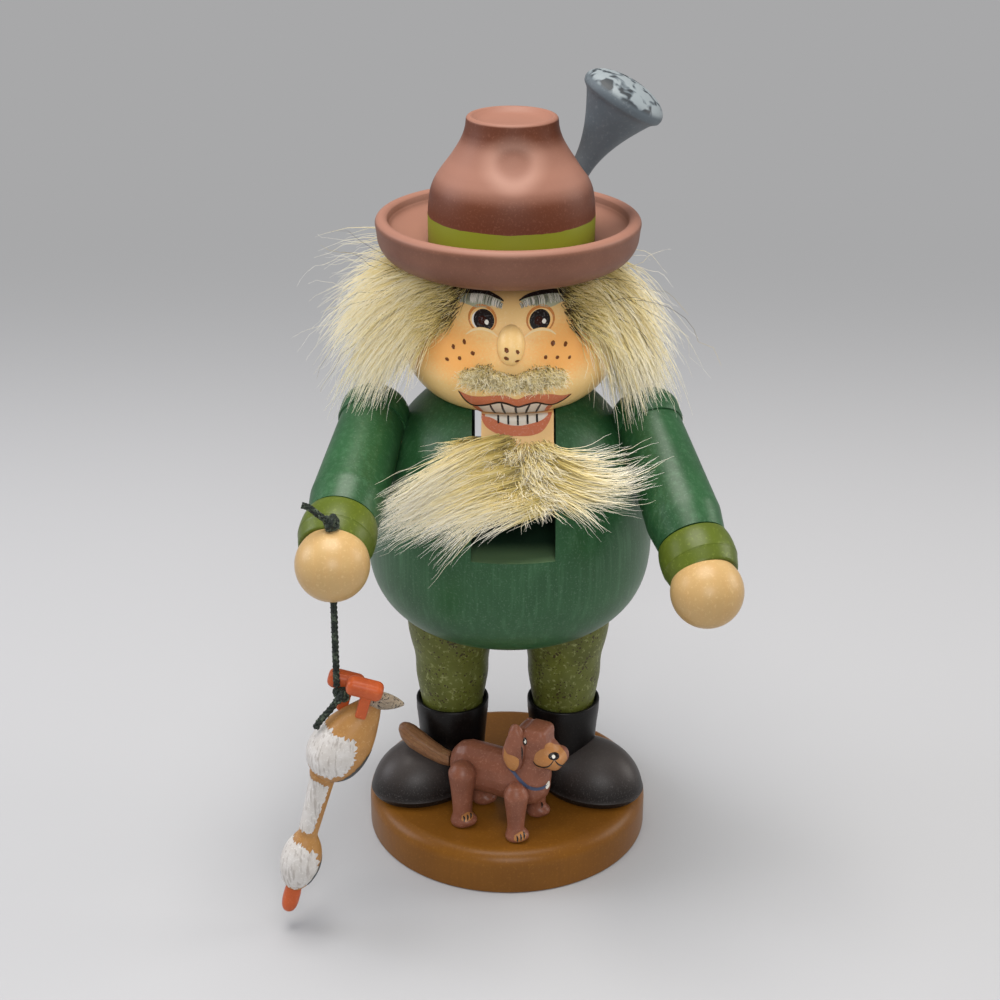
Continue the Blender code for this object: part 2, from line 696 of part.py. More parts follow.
def make_hair():
    brim_cutter = turned("brim_cutter", grown(brim_profile(), gap), shifted(brim_aside, 0, 0), steps=36)
    back_cutter = box("hair_back_cutter", (-coat_radius * 2, -coat_radius * 2, 0),
                      (coat_radius * 2, back_hair_edge, head_top * 2))
    tuft_cutters = []
    for side, name in sides.items():
        centre = (side * (head_radius + tuft_out), 0, head_bottom + tuft_above_jaw)
        size = (tuft_width, tuft_depth, tuft_height)
        lean = Matrix.Translation(centre) @ Matrix.Rotation(math.radians(-8 * side), 4, "Y")
        tuft = ellipsoid("hair_" + name, size, lean, "fur", across=14, up=9)
        combine(tuft, [head_cutter, brim_cutter, coat_cutter, cap_cutters[side], arm_cutters[side]])
        tuft_cutters.append(ellipsoid("tuft_cutter_" + name, size, lean, grow=gap, across=14, up=9))
    top, low = head_top - back_hair_top, head_bottom + back_hair_bottom
    count = 5
    heights = [top - (top - low) * i / count for i in range(count + 1)]
    inner = [(radius_at(head_profile, z) - gap, z) for z in heights]
    bulge = [math.sin(math.pi * (0.15 + 0.7 * i / count)) for i in range(count + 1)]
    outer = [(r + back_hair_thickness * b, z) for (r, z), b in zip(inner, bulge)]
    back = turned("hair_back", outer + inner[::-1], paint="fur", steps=24, closed=True)
    combine(back, [back_cutter, head_cutter, brim_cutter] + tuft_cutters)


def make_beard():
    # A shell over the coat's front, cut to the fan that the swept fur makes.
    top = coat_top - beard_top_below_coat
    inner = [(radius + gap, z) for radius, z in front_line(1, front_steps)]
    outer = [(radius + beard_thickness, z) for radius, z in inner]
    beard = turned("beard", outer + inner[::-1], paint="fur", steps=36, closed=True)
    root = beard_root_width / 2
    left, right = beard_reach_left, -beard_reach_right
    drop = beard_drop
    mid = lever_centre
    fan = [(mid - root, top), (mid + root, top), (left * 0.45, top - drop * 0.1),
           (left * 0.75, top - drop * 0.14), (left, top - drop * 0.3), (left * 0.9, top - drop * 0.42),
           (left * 0.6, top - drop * 0.46), (mid + root * 0.6, top - drop * 0.5),
           (right * 0.3, top - drop * 0.56), (right * 0.45, top - drop * 0.8), (right * 0.62, top - drop),
           (right * 0.84, top - drop * 0.88), (right, top - drop * 0.58), (right * 0.9, top - drop * 0.42),
           (right * 0.66, top - drop * 0.28), (right * 0.42, top - drop * 0.16)]
    reach = coat_radius * 1.5
    facing = Matrix(((1, 0, 0, 0), (0, 0, -1, -reach / 2), (0, 1, 0, 0), (0, 0, 0, 1)))
    combine(beard, [plate("beard_fan", fan[::-1], reach, facing)], "INTERSECT")
    combine(beard, [coat_cutter])


def arm_direction(side):
    spread, drop = (right_arm_spread, right_arm_drop) if side < 0 else (left_arm_spread, left_arm_drop)
    spread, drop = math.radians(spread), math.radians(drop)
    return Vector((side * math.sin(spread) * math.cos(drop), -math.cos(spread) * math.cos(drop),
                   -math.sin(drop)))


def arm_frame(side):
    # The frame stands on the arm's axis beside the hand's centre, with +Z towards the shoulder.
    shoulder = Vector((side * shoulder_spread, -shoulder_ahead, coat_bottom + shoulder_height))
    direction = arm_direction(side)
    return aimed(shoulder + direction * arm_length, -direction)


def arm_profile():
    start = cuff_from_hand + cuff_length + gap
    end = arm_length - shoulder_cap_length / 2
    ridge = arm_flare_from_hand
    soft = 0.8 * mm
    return [(0, end), (arm_radius, end), (arm_flare_radius, ridge + soft),
            (arm_flare_radius, ridge - soft), (wrist_radius, start), (0, start)]


def cap_profile():
    start = arm_length - shoulder_cap_length / 2 + gap
    radius = shoulder_cap_radius
    dome = ellipse(start + shoulder_cap_length * 0.45, radius, shoulder_cap_length * 0.55, 90, 0, 5)
    return dome + [(radius, start + gap), (radius - gap, start), (0, start)]


def make_arm(side, name):
    place = arm_frames[side]
    arm = turned(name + "_arm", arm_profile(), place, "coat_green", steps=16)
    combine(arm, [coat_cutter, arm_bores[side], hand_bores[side]])
    cap = turned(name + "_shoulder_cap", cap_profile(), place, "coat_green", steps=16)
    combine(cap, [coat_cutter, arm_bores[side]])
    low, high = cuff_from_hand, cuff_from_hand + cuff_length
    middle = (cuff_band_from_hand + high) / 2
    cuff = turned(name + "_cuff", [
        (0, high), (cuff_top_radius, high), (cuff_radius * 0.99, middle),
        (cuff_radius, cuff_band_from_hand), (cuff_low_radius, low), (0, low)], place, "cuff_green",
        steps=18)
    at_hand = Matrix.Translation(hand_centres[side])
    seat = ellipsoid(name + "_hand_seat", [2 * hand_radius] * 3, at_hand, grow=gap, across=18, up=10)
    combine(cuff, [seat, hand_bores[side]])
    hand = ellipsoid(name + "_hand", [2 * hand_radius] * 3, at_hand, "bare_beech", across=18, up=10)
    combine(hand, [hand_bores[side]] + ([cord_bore] if side < 0 else []))
    start = place @ Vector((0, 0, hand_dowel_start))
    end = place @ Vector((0, 0, hand_dowel_start + hand_dowel_length))
    rod(name + "_hand_dowel", hand_dowel_radius, start, end, "bare_beech")
    start, end = arm_dowel_ends(side)
    rod(name + "_arm_dowel", arm_dowel_radius, start, end, "bare_beech")


def arm_dowel_ends(side):
    # The dowel runs level from inside the arm into the coat.
    centre = arm_frames[side] @ Vector((0, 0, arm_dowel_from_hand)) - Vector((0, 0, arm_dowel_below))
    surface = math.sqrt(radius_at(coat_profile, centre.z) ** 2 - centre.y ** 2)
    start = Vector((centre.x + side * arm_dowel_in_arm, centre.y, centre.z))
    return start, Vector((side * (surface - arm_dowel_in_coat), centre.y, centre.z))


def longer(start, end, extra):
    along = (end - start).normalized() * extra
    return start - along, end + along


def make_cord():
    hand = hand_centres[-1]
    top = hand.z + hand_radius
    knot_z = top + knot_height * 0.45
    tail = [Vector((0, 0, 0)), Vector((-0.35, -0.08, 0.3)), Vector((-0.7, -0.12, 0.62)),
            Vector((-0.95, -0.12, 0.72))]
    points = [Vector((hand.x, hand.y, knot_z)) + step * (top_tail_length + knot_radius) for step in tail]
    tail_tube = tube("top_tail_form", points, [cord_radius * 0.9] * 4)
    knot = ellipsoid("cord_top_knot", (2 * knot_radius, 2 * knot_radius, knot_height),
                     shifted(hand.x, hand.y, knot_z), "cord_green", across=12, up=8)
    combine(knot, [tail_tube], "UNION")
    seat = ellipsoid("top_knot_seat", [2 * hand_radius] * 3, Matrix.Translation(hand), grow=gap,
                     across=18, up=10)
    core = rod("top_knot_core", cord_radius + gap, (hand.x, hand.y, hand.z), (hand.x, hand.y, top + gap))
    combine(knot, [seat, core])

    bottom = hand.z - hand_radius
    steps = 8
    upper = [(hand.x, hand.y, top - (top - bottom - gap) * i / steps) for i in range(steps + 1)]
    tube("cord_in_hand", upper, [cord_radius] * (steps + 1), "cord_green")
    start = cord_pivot.z - gap
    steps = 10
    low = goose_pivot.z + gap
    route = [(hand.x, hand.y, start + (low - start) * i / steps) for i in range(steps + 1)]
    tube("cord_drop", route, [cord_radius] * (steps + 1), "cord_green")

    centre = goose_pivot + Vector((knot_aside, 0, -gap - knot_height / 2))
    tail = [Vector((0, 0, 0)), Vector((-0.3, -0.12, -0.42)), Vector((-0.62, -0.25, -0.75)),
            Vector((-0.78, -0.3, -1.0))]
    points = [centre + step * (low_tail_length + knot_radius) * 0.8 for step in tail]
    tail_tube = tube("low_tail_form", points, [cord_radius * 1.05] * 4)
    knot = ellipsoid("cord_low_knot", (2 * knot_radius, 2 * knot_radius, knot_height),
                     Matrix.Translation(centre), "cord_green", across=12, up=8)
    combine(knot, [tail_tube], "UNION")


def make_goose():
    knot = goose_pivot - Vector((0, 0, gap + knot_height / 2))
    tied = knot + Vector((knot_aside, 0, 0))
    lean = math.radians(goose_body_lean)
    breast = knot + Vector((goose_body_across, 0, -goose_body_down))
    body_axis = Vector((math.sin(lean), 0, math.cos(lean)))
    place = aimed(breast, body_axis)
    length, radius = goose_body_length, goose_body_radius
    shape = [(1.0, 0.0), (0.985, 0.16), (0.93, 0.3), (0.8, 0.52), (0.64, 0.76), (0.48, 0.94),
             (0.33, 1.0), (0.2, 0.94), (0.1, 0.78), (0.03, 0.5), (0.0, 0.0)]
    profile = [(radius * wide, length * along) for along, wide in shape]
    body = turned("goose_body", profile, place, "goose_ochre", steps=16)
    body_cutter = turned("goose_body_cutter", grown(profile, gap), place, steps=16)
    knot_seat = ellipsoid("low_knot_seat", (2 * knot_radius, 2 * knot_radius, knot_height),
                          Matrix.Translation(tied), grow=gap, across=12, up=8)
    tail_seat = tube("low_tail_seat", [
        tied + step * (low_tail_length + knot_radius) * 0.8
        for step in (Vector((0, 0, 0)), Vector((-0.3, -0.12, -0.42)), Vector((-0.62, -0.25, -0.75)),
                     Vector((-0.86, -0.33, -1.11)))], [cord_radius * 1.05 + gap] * 4)
    combine(body, [knot_seat, tail_seat])

    lean = math.radians(goose_neck_lean)
    neck_axis = Vector((-math.sin(lean), 0, -math.cos(lean)))
    root = breast + body_axis * radius * 0.35 - neck_axis * gap
    neck_start = aimed(root, -neck_axis)
    reach = radius * 0.5
    low = -(reach + goose_neck_length)
    head_end = low - goose_head_length
    slim = goose_neck_radius
    head = ellipse(low - goose_head_length / 2, goose_head_radius, goose_head_length / 2, 62, -64, 7)
    profile = [(0, 0), (slim * 1.15, 0), (slim * 1.05, -reach), (slim * 0.9, low + 1.5 * mm)] + head + [
        (0, head_end + goose_head_length * 0.05)]
    neck = turned("goose_neck_and_head", profile, neck_start, "goose_ochre", steps=12)
    combine(neck, [body_cutter])
    start = head_end + goose_head_length * 0.05 - gap
    wide = beak_radius
    tip = start - beak_length
    turned("goose_beak", [(0, start), (wide, start), (wide * 0.9, start - beak_length * 0.5),
                          (wide * 0.66, tip + wide * 0.4), (wide * 0.3, tip + wide * 0.08), (0, tip)],
           neck_start, "goose_orange", steps=12)

    rump = breast + body_axis * length * 0.99
    dip = math.radians(goose_tail_dip)
    tail_axis = Vector((math.cos(dip), 0, -math.sin(dip)))
    wide = goose_tail_radius
    tail = turned("goose_tail", [(0, goose_tail_length), (wide * 0.4, goose_tail_length * 0.93),
                                 (wide * 0.9, goose_tail_length * 0.55), (wide, 0), (0, 0)],
                  aimed(rump, tail_axis), "goose_slate", steps=12)
    combine(tail, [body_cutter])

    # One foot lies behind the cord and the other in front of it.
    clear = cord_radius + gap + goose_foot_depth / 2
    for name, (across, up), depth in (("hind", goose_hind_foot, clear), ("fore", goose_fore_foot, -clear)):
        centre = knot + Vector((across, depth, up))
        tilt = Matrix.Translation(centre) @ Matrix.Rotation(math.radians(goose_foot_tip), 4, "Y")
        half = Vector((goose_foot_length, goose_foot_depth, goose_foot_height)) / 2
        foot = box("goose_" + name + "_foot", -half, half, tilt, "goose_orange", goose_foot_edge)
        foot_gap = half.z + gap
        wide = goose_leg_thickness / 2
        leg = box("goose_" + name + "_leg", (half.x * 0.2 - wide, -wide, -foot_gap - radius),
                  (half.x * 0.2 + wide, wide, -foot_gap), tilt, "goose_orange")
        combine(leg, [body_cutter, knot_seat])
        combine(foot, [knot_seat])


def make_dog():
    stand = Matrix.Translation((*dog_place, base_top)) @ Matrix.Rotation(math.radians(dog_heading), 4, "Z")
    half = dog_body_length / 2
    tall, wide = dog_body_height / 2, dog_body_width / 2
    middle = dog_belly_height + tall
    along = Matrix.Rotation(math.radians(90), 4, "Y")
    flat = Matrix.Diagonal((1, wide / tall, 1, 1))
    place = stand @ shifted(0, 0, middle) @ along @ flat
    end = tall * 0.8
    profile = ellipse(half - end, tall, end, 90, 0, 3) + ellipse(end - half, tall, end, 0, -90, 3)
    turned("dog_body", profile, place, "dog_brown", steps=16)
    body_cutter = turned("dog_body_cutter", grown(profile, gap * 1.4), place, steps=16)

    skull_place = stand @ shifted(dog_neck_ahead, 0, dog_skull_height)
    muzzle_shift = shifted(dog_muzzle_ahead, 0, -dog_muzzle_below)
    head = ellipsoid("dog_head", dog_skull_size, skull_place, "dog_brown", across=14, up=8)
    muzzle = ellipsoid("dog_muzzle_form", dog_muzzle_size, skull_place @ muzzle_shift, across=12, up=7)
    neck = turned("dog_neck_form", [
        (0, dog_skull_height), (dog_neck_radius * 0.8, dog_skull_height),
        (dog_neck_radius, middle), (0, middle)], stand @ shifted(dog_neck_ahead, 0, 0), steps=small_steps)
    combine(head, [muzzle, neck], "UNION")
    combine(head, [body_cutter])
    skull_cutter = ellipsoid("dog_skull_cutter", dog_skull_size, skull_place, grow=gap, across=14, up=8)
    neck_cutter = turned("dog_neck_cutter", [
        (0, dog_skull_height + gap), (dog_neck_radius * 0.8 + gap, dog_skull_height + gap),
        (dog_neck_radius + gap, middle - gap), (0, middle - gap)],
        stand @ shifted(dog_neck_ahead, 0, 0), steps=small_steps)
    for side, name in sides.items():
        ear_place = shifted(-dog_ear_behind, -side * (dog_skull_size[1] / 2 - gap), -dog_ear_below)
        ear = ellipsoid("dog_" + name + "_ear", dog_ear_size, skull_place @ ear_place, "dog_brown",
                        across=10, up=6)
        combine(ear, [skull_cutter, neck_cutter, body_cutter])
        for end_name, sign, height in (("front", 1, dog_front_leg_height), ("hind", -1, dog_hind_leg_height)):
            hip = ellipse(height - dog_hip_radius, dog_hip_radius, dog_hip_radius, 90, -20, 4)
            leg_profile = hip + [(dog_leg_radius, height * 0.5), (dog_leg_radius * 0.85, height * 0.22),
                                 (dog_paw_radius, height * 0.12), (dog_paw_radius, height * 0.05),
                                 (dog_paw_radius * 0.9, gap), (0, gap)]
            leg_place = stand @ shifted(sign * dog_leg_spacing / 2, -side * dog_leg_side, 0)
            leg = turned("dog_" + name + "_" + end_name + "_leg", leg_profile, leg_place, "dog_brown",
                         steps=10)
            combine(leg, [body_cutter, neck_cutter])
    reach, width = dog_tail_length, dog_tail_radius
    route = [(-half + width, 0.0, 0.0), (-half - reach * 0.15, 0.0, 0.02), (-half - reach * 0.4, 0.0, 0.1),
             (-half - reach * 0.62, 0.0, 0.2), (-half - reach * 0.76, 0.0, 0.3),
             (-half - reach * 0.84, 0.0, 0.38), (-half - reach * 0.87, 0.0, 0.42)]
    points = [stand @ Vector((x, y, dog_tail_root_height + up * reach)) for x, y, up in route]
    tail = tube("dog_tail", points, [width * k for k in (0.75, 0.9, 1.05, 1.15, 1.05, 0.7, 0.3)],
                "dog_brown")
    combine(tail, [body_cutter])


clear_scene()
pieces = new_collection("nutcracker")
cutters = new_collection("nutcracker_cutters")
sides = {-1: "right", 1: "left"}    # the figure's own right and left

coat_cutter = turned("coat_cutter", grown(coat_profile, gap), steps=36)
head_cutter = turned("head_cutter", grown(head_profile, gap), steps=32)
arm_frames = {side: arm_frame(side) for side in sides}
hand_centres = {side: arm_frames[side] @ Vector((side * hand_inward, 0, 0)) for side in sides}
arm_cutters = {side: turned("arm_cutter_" + sides[side], grown(arm_profile(), gap), arm_frames[side],
                            steps=16) for side in sides}
cap_cutters = {side: turned("cap_cutter_" + sides[side], grown(cap_profile(), gap), arm_frames[side],
                            steps=16) for side in sides}
leg_bores = {side: rod("leg_bore_" + sides[side], leg_dowel_radius + gap,
                       (side * leg_spread, 0, base_top - leg_dowel_in_base - gap),
                       (side * leg_spread, 0, coat_bottom + leg_dowel_in_coat + gap)) for side in sides}
neck_bores = []
for side in sides:
    ends = [(side * neck_dowel_offset, 0, head_bottom - neck_dowel_reach),
            (side * neck_dowel_offset, 0, head_bottom + neck_dowel_reach)]
    rod(sides[side] + "_neck_dowel", neck_dowel_radius, *ends, "bare_beech")
    neck_bores.append(rod("neck_bore_" + sides[side], neck_dowel_radius + gap,
                          *longer(Vector(ends[0]), Vector(ends[1]), gap)))
arm_bores = {side: rod("arm_bore_" + sides[side], arm_dowel_radius + gap,
                       *longer(*arm_dowel_ends(side), gap)) for side in sides}
hand_bores = {side: rod("hand_bore_" + sides[side], hand_dowel_radius + gap,
                        arm_frames[side] @ Vector((0, 0, hand_dowel_start - gap)),
                        arm_frames[side] @ Vector((0, 0, hand_dowel_start + hand_dowel_length + gap)))
              for side in sides}
hat_bore = rod("hat_bore", hat_dowel_radius + gap, (0, 0, head_top - hat_dowel_in_head - gap),
               (0, 0, crown_bottom + hat_dowel_in_crown + gap), steps=small_steps)
right_hand = hand_centres[-1]
cord_bore = rod("cord_bore", cord_bore_radius, right_hand - Vector((0, 0, 2 * hand_radius)),
                right_hand + Vector((0, 0, 2 * hand_radius)))
cord_pivot = right_hand - Vector((0, 0, hand_radius + cord_pivot_gap))
goose_pivot = cord_pivot - Vector((0, 0, cord_drop))

make_base()
for side, side_name in sides.items():
    make_leg(side, side_name)
    make_arm(side, side_name)
make_coat()
make_lever()
make_head()
make_hat()
make_hair()
make_beard()
make_cord()
make_goose()
make_dog()
print("jaw pin centre", [round(v / mm, 2) for v in pin_centre])
print("cord pivot", [round(v / mm, 2) for v in cord_pivot])
print("goose pivot", [round(v / mm, 2) for v in goose_pivot])
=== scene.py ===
# Wooden nutcracker hunter with fur hair, a dog and a goose on a cord.
# Metres, +Z up. The figure faces -Y and stands on the floor at the origin.

import math
import random

import bmesh
import bpy
from mathutils import Matrix, Vector
from mathutils.bvhtree import BVHTree
from mathutils.geometry import delaunay_2d_cdt


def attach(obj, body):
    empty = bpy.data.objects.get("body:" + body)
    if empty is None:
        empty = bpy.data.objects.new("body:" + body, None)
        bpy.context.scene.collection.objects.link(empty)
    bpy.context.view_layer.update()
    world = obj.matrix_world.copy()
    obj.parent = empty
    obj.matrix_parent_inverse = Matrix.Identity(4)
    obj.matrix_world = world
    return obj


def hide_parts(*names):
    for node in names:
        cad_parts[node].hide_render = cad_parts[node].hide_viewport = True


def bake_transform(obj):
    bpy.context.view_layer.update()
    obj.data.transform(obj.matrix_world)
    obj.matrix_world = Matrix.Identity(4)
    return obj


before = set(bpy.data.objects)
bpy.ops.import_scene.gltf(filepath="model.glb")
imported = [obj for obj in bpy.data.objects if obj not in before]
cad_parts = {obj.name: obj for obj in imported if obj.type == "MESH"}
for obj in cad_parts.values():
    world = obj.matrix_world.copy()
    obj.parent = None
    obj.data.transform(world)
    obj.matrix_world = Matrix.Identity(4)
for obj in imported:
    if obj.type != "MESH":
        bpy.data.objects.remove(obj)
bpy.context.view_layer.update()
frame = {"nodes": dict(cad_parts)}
mm = 0.001


# Camera, floor and light

camera = {
    "place": (-2.412, -434.578, 290.452),    # mm
    "pitchDown": 24.235,                     # degrees
    "roll": 0.305,
    "lens": 66.94,
}
studio = {
    "floorColour": "#B6B7BA",
    "farColour": "#A8A8A9",
    "fadeFrom": 0.1,           # metres behind the figure where the floor begins to melt into the backdrop
    "fadeOver": 0.55,
    "worldColour": "#C9CDD2",
    "worldStrength": 0.36,
    "lamps": {                 # place, target height, size, watts, colour
        "overhead": ((-0.05, -0.03, 0.85), 0.10, 0.62, 7.3, "#FFFAF4"),
        "leftWindow": ((-0.8, 0.08, 0.42), 0.09, 0.5, 2.6, "#F6F8FF"),
        "rightWindow": ((0.82, 0.12, 0.38), 0.09, 0.5, 2.6, "#FFFAF4"),
        "front": ((0.05, -0.9, 0.55), 0.10, 0.45, 3.6, "#FFFFFF"),
    },
}


def hexColour(text):
    # An sRGB hex value as linear red, green, blue and alpha.
    channels = [int(text[i:i + 2], 16) / 255 for i in (1, 3, 5)]
    return [c / 12.92 if c <= 0.04045 else ((c + 0.055) / 1.055) ** 2.4 for c in channels] + [1.0]


def addNode(tree, kind, links=None, take=None, **settings):
    # A kind may hold its operation after a colon. The links give each input a value or another node's socket, by
    # name or in order. The result is the output that take names, or else the first one in use.
    kind, _, operation = kind.partition(":")
    links = dict(enumerate(links)) if isinstance(links, tuple) else links or {}
    node = tree.nodes.new(kind if "Node" in kind else "ShaderNode" + kind)
    if operation:
        node.operation = operation
    for name, value in settings.items():
        setattr(node, name, value)
    for name, value in links.items():
        if isinstance(value, bpy.types.NodeSocket):
            tree.links.new(value, node.inputs[name])
        else:
            node.inputs[name].default_value = value
    return node.outputs[take] if take else next((s for s in node.outputs if s.enabled), None)


def newMaterial(name, colour, roughness, specular=0.5):
    material = bpy.data.materials.new(name)
    material.use_nodes = True
    shader = material.node_tree.nodes["Principled BSDF"]
    shader.inputs["Base Color"].default_value = hexColour(colour)
    shader.inputs["Roughness"].default_value = roughness
    shader.inputs["Specular IOR Level"].default_value = specular
    return material, material.node_tree, shader


def inScene(name, data):
    thing = bpy.data.objects.new(name, data)
    bpy.context.scene.collection.objects.link(thing)
    return thing


def addCamera():
    pitch, roll = math.radians(camera["pitchDown"]), math.radians(camera["roll"])
    ahead, level = Vector((0, math.cos(pitch), -math.sin(pitch))), Vector((1, 0, 0))
    upright = level.cross(ahead)
    right = level * math.cos(roll) + upright * math.sin(roll)
    up = upright * math.cos(roll) - level * math.sin(roll)
    data = bpy.data.cameras.new("camera")
    data.lens, data.sensor_width, data.clip_start = camera["lens"], 36, 0.01
    eye = inScene("camera", data)
    turn = Matrix((right, up, -ahead)).transposed().to_4x4()
    eye.matrix_world = Matrix.Translation(Vector(camera["place"]) * mm) @ turn
    bpy.context.scene.camera = eye


def addStudio():
    # A plain floor that melts into an even grey backdrop, as a paper sweep does.
    mesh = bpy.data.meshes.new("floor")
    mesh.from_pydata([(-4, -3, 0), (4, -3, 0), (4, 9, 0), (-4, 9, 0)], [], [(0, 1, 2, 3)])
    floor = inScene("floor", mesh)
    material, tree, shader = newMaterial("paperSweep", studio["floorColour"], 0.75, 0.2)
    away = addNode(tree, "SeparateXYZ", {"Vector": addNode(tree, "TexCoord", take="Object")}, "Y")
    fade = addNode(tree, "MapRange", (away, studio["fadeFrom"], studio["fadeFrom"] + studio["fadeOver"]),
        interpolation_type="SMOOTHERSTEP")
    rays = addNode(tree, "LightPath").node.outputs
    seen = rays["Is Camera Ray"]
    for kind in ("Is Glossy Ray", "Is Transmission Ray"):
        seen = addNode(tree, "Math:MAXIMUM", (seen, rays[kind]))
    share = addNode(tree, "Math:MULTIPLY", (fade, seen))
    backdrop = addNode(tree, "Emission", {"Color": hexColour(studio["farColour"])})
    swept = addNode(tree, "MixShader", (share, shader.outputs["BSDF"], backdrop))
    tree.links.new(swept, tree.nodes["Material Output"].inputs["Surface"])
    mesh.materials.append(material)

    for name, (place, targetZ, size, watts, tint) in studio["lamps"].items():
        data = bpy.data.lights.new(name, "AREA")
        data.shape, data.size, data.energy, data.color = "DISK", size, watts, hexColour(tint)[:3]
        aim = Vector((0, 0, targetZ)) - Vector(place)
        turn = aim.to_track_quat("-Z", "Y").to_matrix().to_4x4()
        inScene(name, data).matrix_world = Matrix.Translation(place) @ turn
    world = bpy.data.worlds.new("world")
    world.use_nodes = True
    sky = world.node_tree.nodes["Background"]
    sky.inputs["Color"].default_value = hexColour(studio["worldColour"])
    sky.inputs["Strength"].default_value = studio["worldStrength"]
    bpy.context.scene.world = world
    bpy.context.scene.view_settings.view_transform = "Standard"


print("camera and studio")
addCamera()
addStudio()


# Shared tools for turned and carved pieces

def dress(mesh, *materials):
    mesh.materials.clear()
    for material in materials:
        mesh.materials.append(material)


def addPiece(name, mesh, body, replaced=(), material=None, smooth=40.0):
    piece = inScene(name, mesh)
    if material:
        dress(mesh, material)
    mesh.shade_smooth()
    mesh.set_sharp_from_angle(angle=math.radians(smooth))
    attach(piece, body)
    if replaced:
        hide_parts(*replaced)
    return piece


def smoothLine(points, spans=5):
    # A smooth line through the points in mm; a point given twice in a row is a corner.
    runs, run = [], [Vector(points[0])]
    for before, here in zip(points, points[1:]):
        if before == here:
            runs.append(run)
            run = [Vector(here)]
        else:
            run.append(Vector(here))
    runs.append(run)
    line = []
    for run in runs:
        if len(run) < 3:
            line += run
            continue
        ends = [run[0] * 2 - run[1]] + run + [run[-1] * 2 - run[-2]]
        for a, b, c, d in zip(ends, ends[1:], ends[2:], ends[3:]):
            for i in range(spans):
                t = i / spans
                line.append(0.5 * (2 * b + (c - a) * t + (2 * a - 5 * b + 4 * c - d) * t * t
                                   + (3 * b - a - 3 * c + d) * t ** 3))
        line.append(run[-1])
    return [p for i, p in enumerate(line) if i == 0 or (p - line[i - 1]).length > 1e-6]


def meshFrom(shape, name):
    mesh = bpy.data.meshes.new(name)
    shape.to_mesh(mesh)
    shape.free()
    return mesh


def turnedMesh(name, profile, place=None, steps=96):
    # Profile points are (radius, height) in mm, from the top down the outer side.
    shape = bmesh.new()
    angles = [2 * math.pi * i / steps for i in range(steps)]
    rings = [[shape.verts.new((0, 0, height * mm))] * steps if radius < 0.001 else
             [shape.verts.new((radius * mm * math.cos(a), radius * mm * math.sin(a), height * mm)) for a in angles]
             for radius, height in profile]
    for upper, lower in zip(rings, rings[1:]):
        for i in range(steps):
            j = (i + 1) % steps
            corners = list(dict.fromkeys((upper[i], lower[i], lower[j], upper[j])))
            if len(corners) > 2:
                shape.faces.new(corners)
    bmesh.ops.recalc_face_normals(shape, faces=shape.faces)
    if place:
        bmesh.ops.transform(shape, matrix=place, verts=shape.verts)
    return meshFrom(shape, name)


def addTurned(name, profile, replaced, material, place=None, steps=96, body="figure"):
    return addPiece(name, turnedMesh(name, profile, place, steps), body, [replaced], material)


def eggMesh(name, size, place, steps=40, rings=28):
    # The size is in mm, and place turns and moves the egg.
    shape = bmesh.new()
    bmesh.ops.create_uvsphere(shape, u_segments=steps, v_segments=rings, radius=0.5)
    bmesh.ops.scale(shape, vec=Vector(size) * mm, verts=shape.verts)
    bmesh.ops.transform(shape, matrix=place, verts=shape.verts)
    return meshFrom(shape, name)


def moved(place):
    return Matrix.Translation(Vector(place) * mm)


def aimed(origin, direction):
    # A frame in metres at an origin in mm, with +Z along the direction.
    return moved(origin) @ Vector(direction).to_track_quat("Z", "Y").to_matrix().to_4x4()


def blockMesh(name, low, high):
    shape = bmesh.new()
    bmesh.ops.create_cube(shape, size=1.0)
    low, high = Vector(low) * mm, Vector(high) * mm
    bmesh.ops.scale(shape, vec=high - low, verts=shape.verts)
    bmesh.ops.translate(shape, vec=(low + high) / 2, verts=shape.verts)
    return meshFrom(shape, name)


def finished(worker, name, helpers=()):
    # The mesh that a throwaway object's modifiers give; the object and its helpers go.
    bpy.context.view_layer.update()
    result = bpy.data.meshes.new_from_object(worker.evaluated_get(bpy.context.evaluated_depsgraph_get()))
    for thing in (*helpers, worker):
        bpy.data.objects.remove(thing, do_unlink=True)
    result.name = name
    return result


def settled(mesh, changes):
    # Runs modifiers on a throwaway object and returns the mesh that results.
    helpers, worker = [], inScene("worker", mesh)
    for kind, values in changes:
        modifier = worker.modifiers.new(kind, kind)
        for key, value in values.items():
            if isinstance(value, bpy.types.Mesh):
                value = inScene("helper", value)
                value.hide_render = True
                helpers.append(value)
            setattr(modifier, key, value)
    return finished(worker, mesh.name + "Done", helpers)


def cut(mesh, tool, operation="DIFFERENCE"):
    return settled(mesh, [("BOOLEAN", {"object": tool, "operation": operation, "solver": "EXACT"})])


def bevelled(mesh, width, segments, **limits):
    return settled(mesh, [("BEVEL", {"width": width * mm, "segments": segments, **limits})])


def carved(name, meshes, voxel, rounds):
    # Several solids melted into one hand-carved shape.
    shape = bmesh.new()
    for mesh in meshes:
        shape.from_mesh(mesh)
    bmesh.ops.remove_doubles(shape, verts=shape.verts, dist=0.000005)
    return settled(meshFrom(shape, name), [("REMESH", {"mode": "VOXEL", "voxel_size": voxel * mm}),
                                           ("SMOOTH", {"factor": 0.5, "iterations": rounds})])


# Painted wood

soft = {"interpolation_type": "SMOOTHSTEP"}


def overPaint(material, mask, colour, low=None, high=1.0, strength=1.0, **fade):
    # Lays another colour over the material's own, as far as the mask says. Where low is given, the colour
    # fades in from there to high, up to its strength.
    tree = material.node_tree
    if low is not None:
        mask = addNode(tree, "MapRange", (mask, low, high, 0, strength), **fade)
    base = tree.nodes["Principled BSDF"].inputs["Base Color"]
    below = base.links[0].from_socket if base.is_linked else list(base.default_value)
    top = addNode(tree, "Mix", {"Factor": mask, "A": below, "B": hexColour(colour)}, data_type="RGBA")
    tree.links.new(top, base)


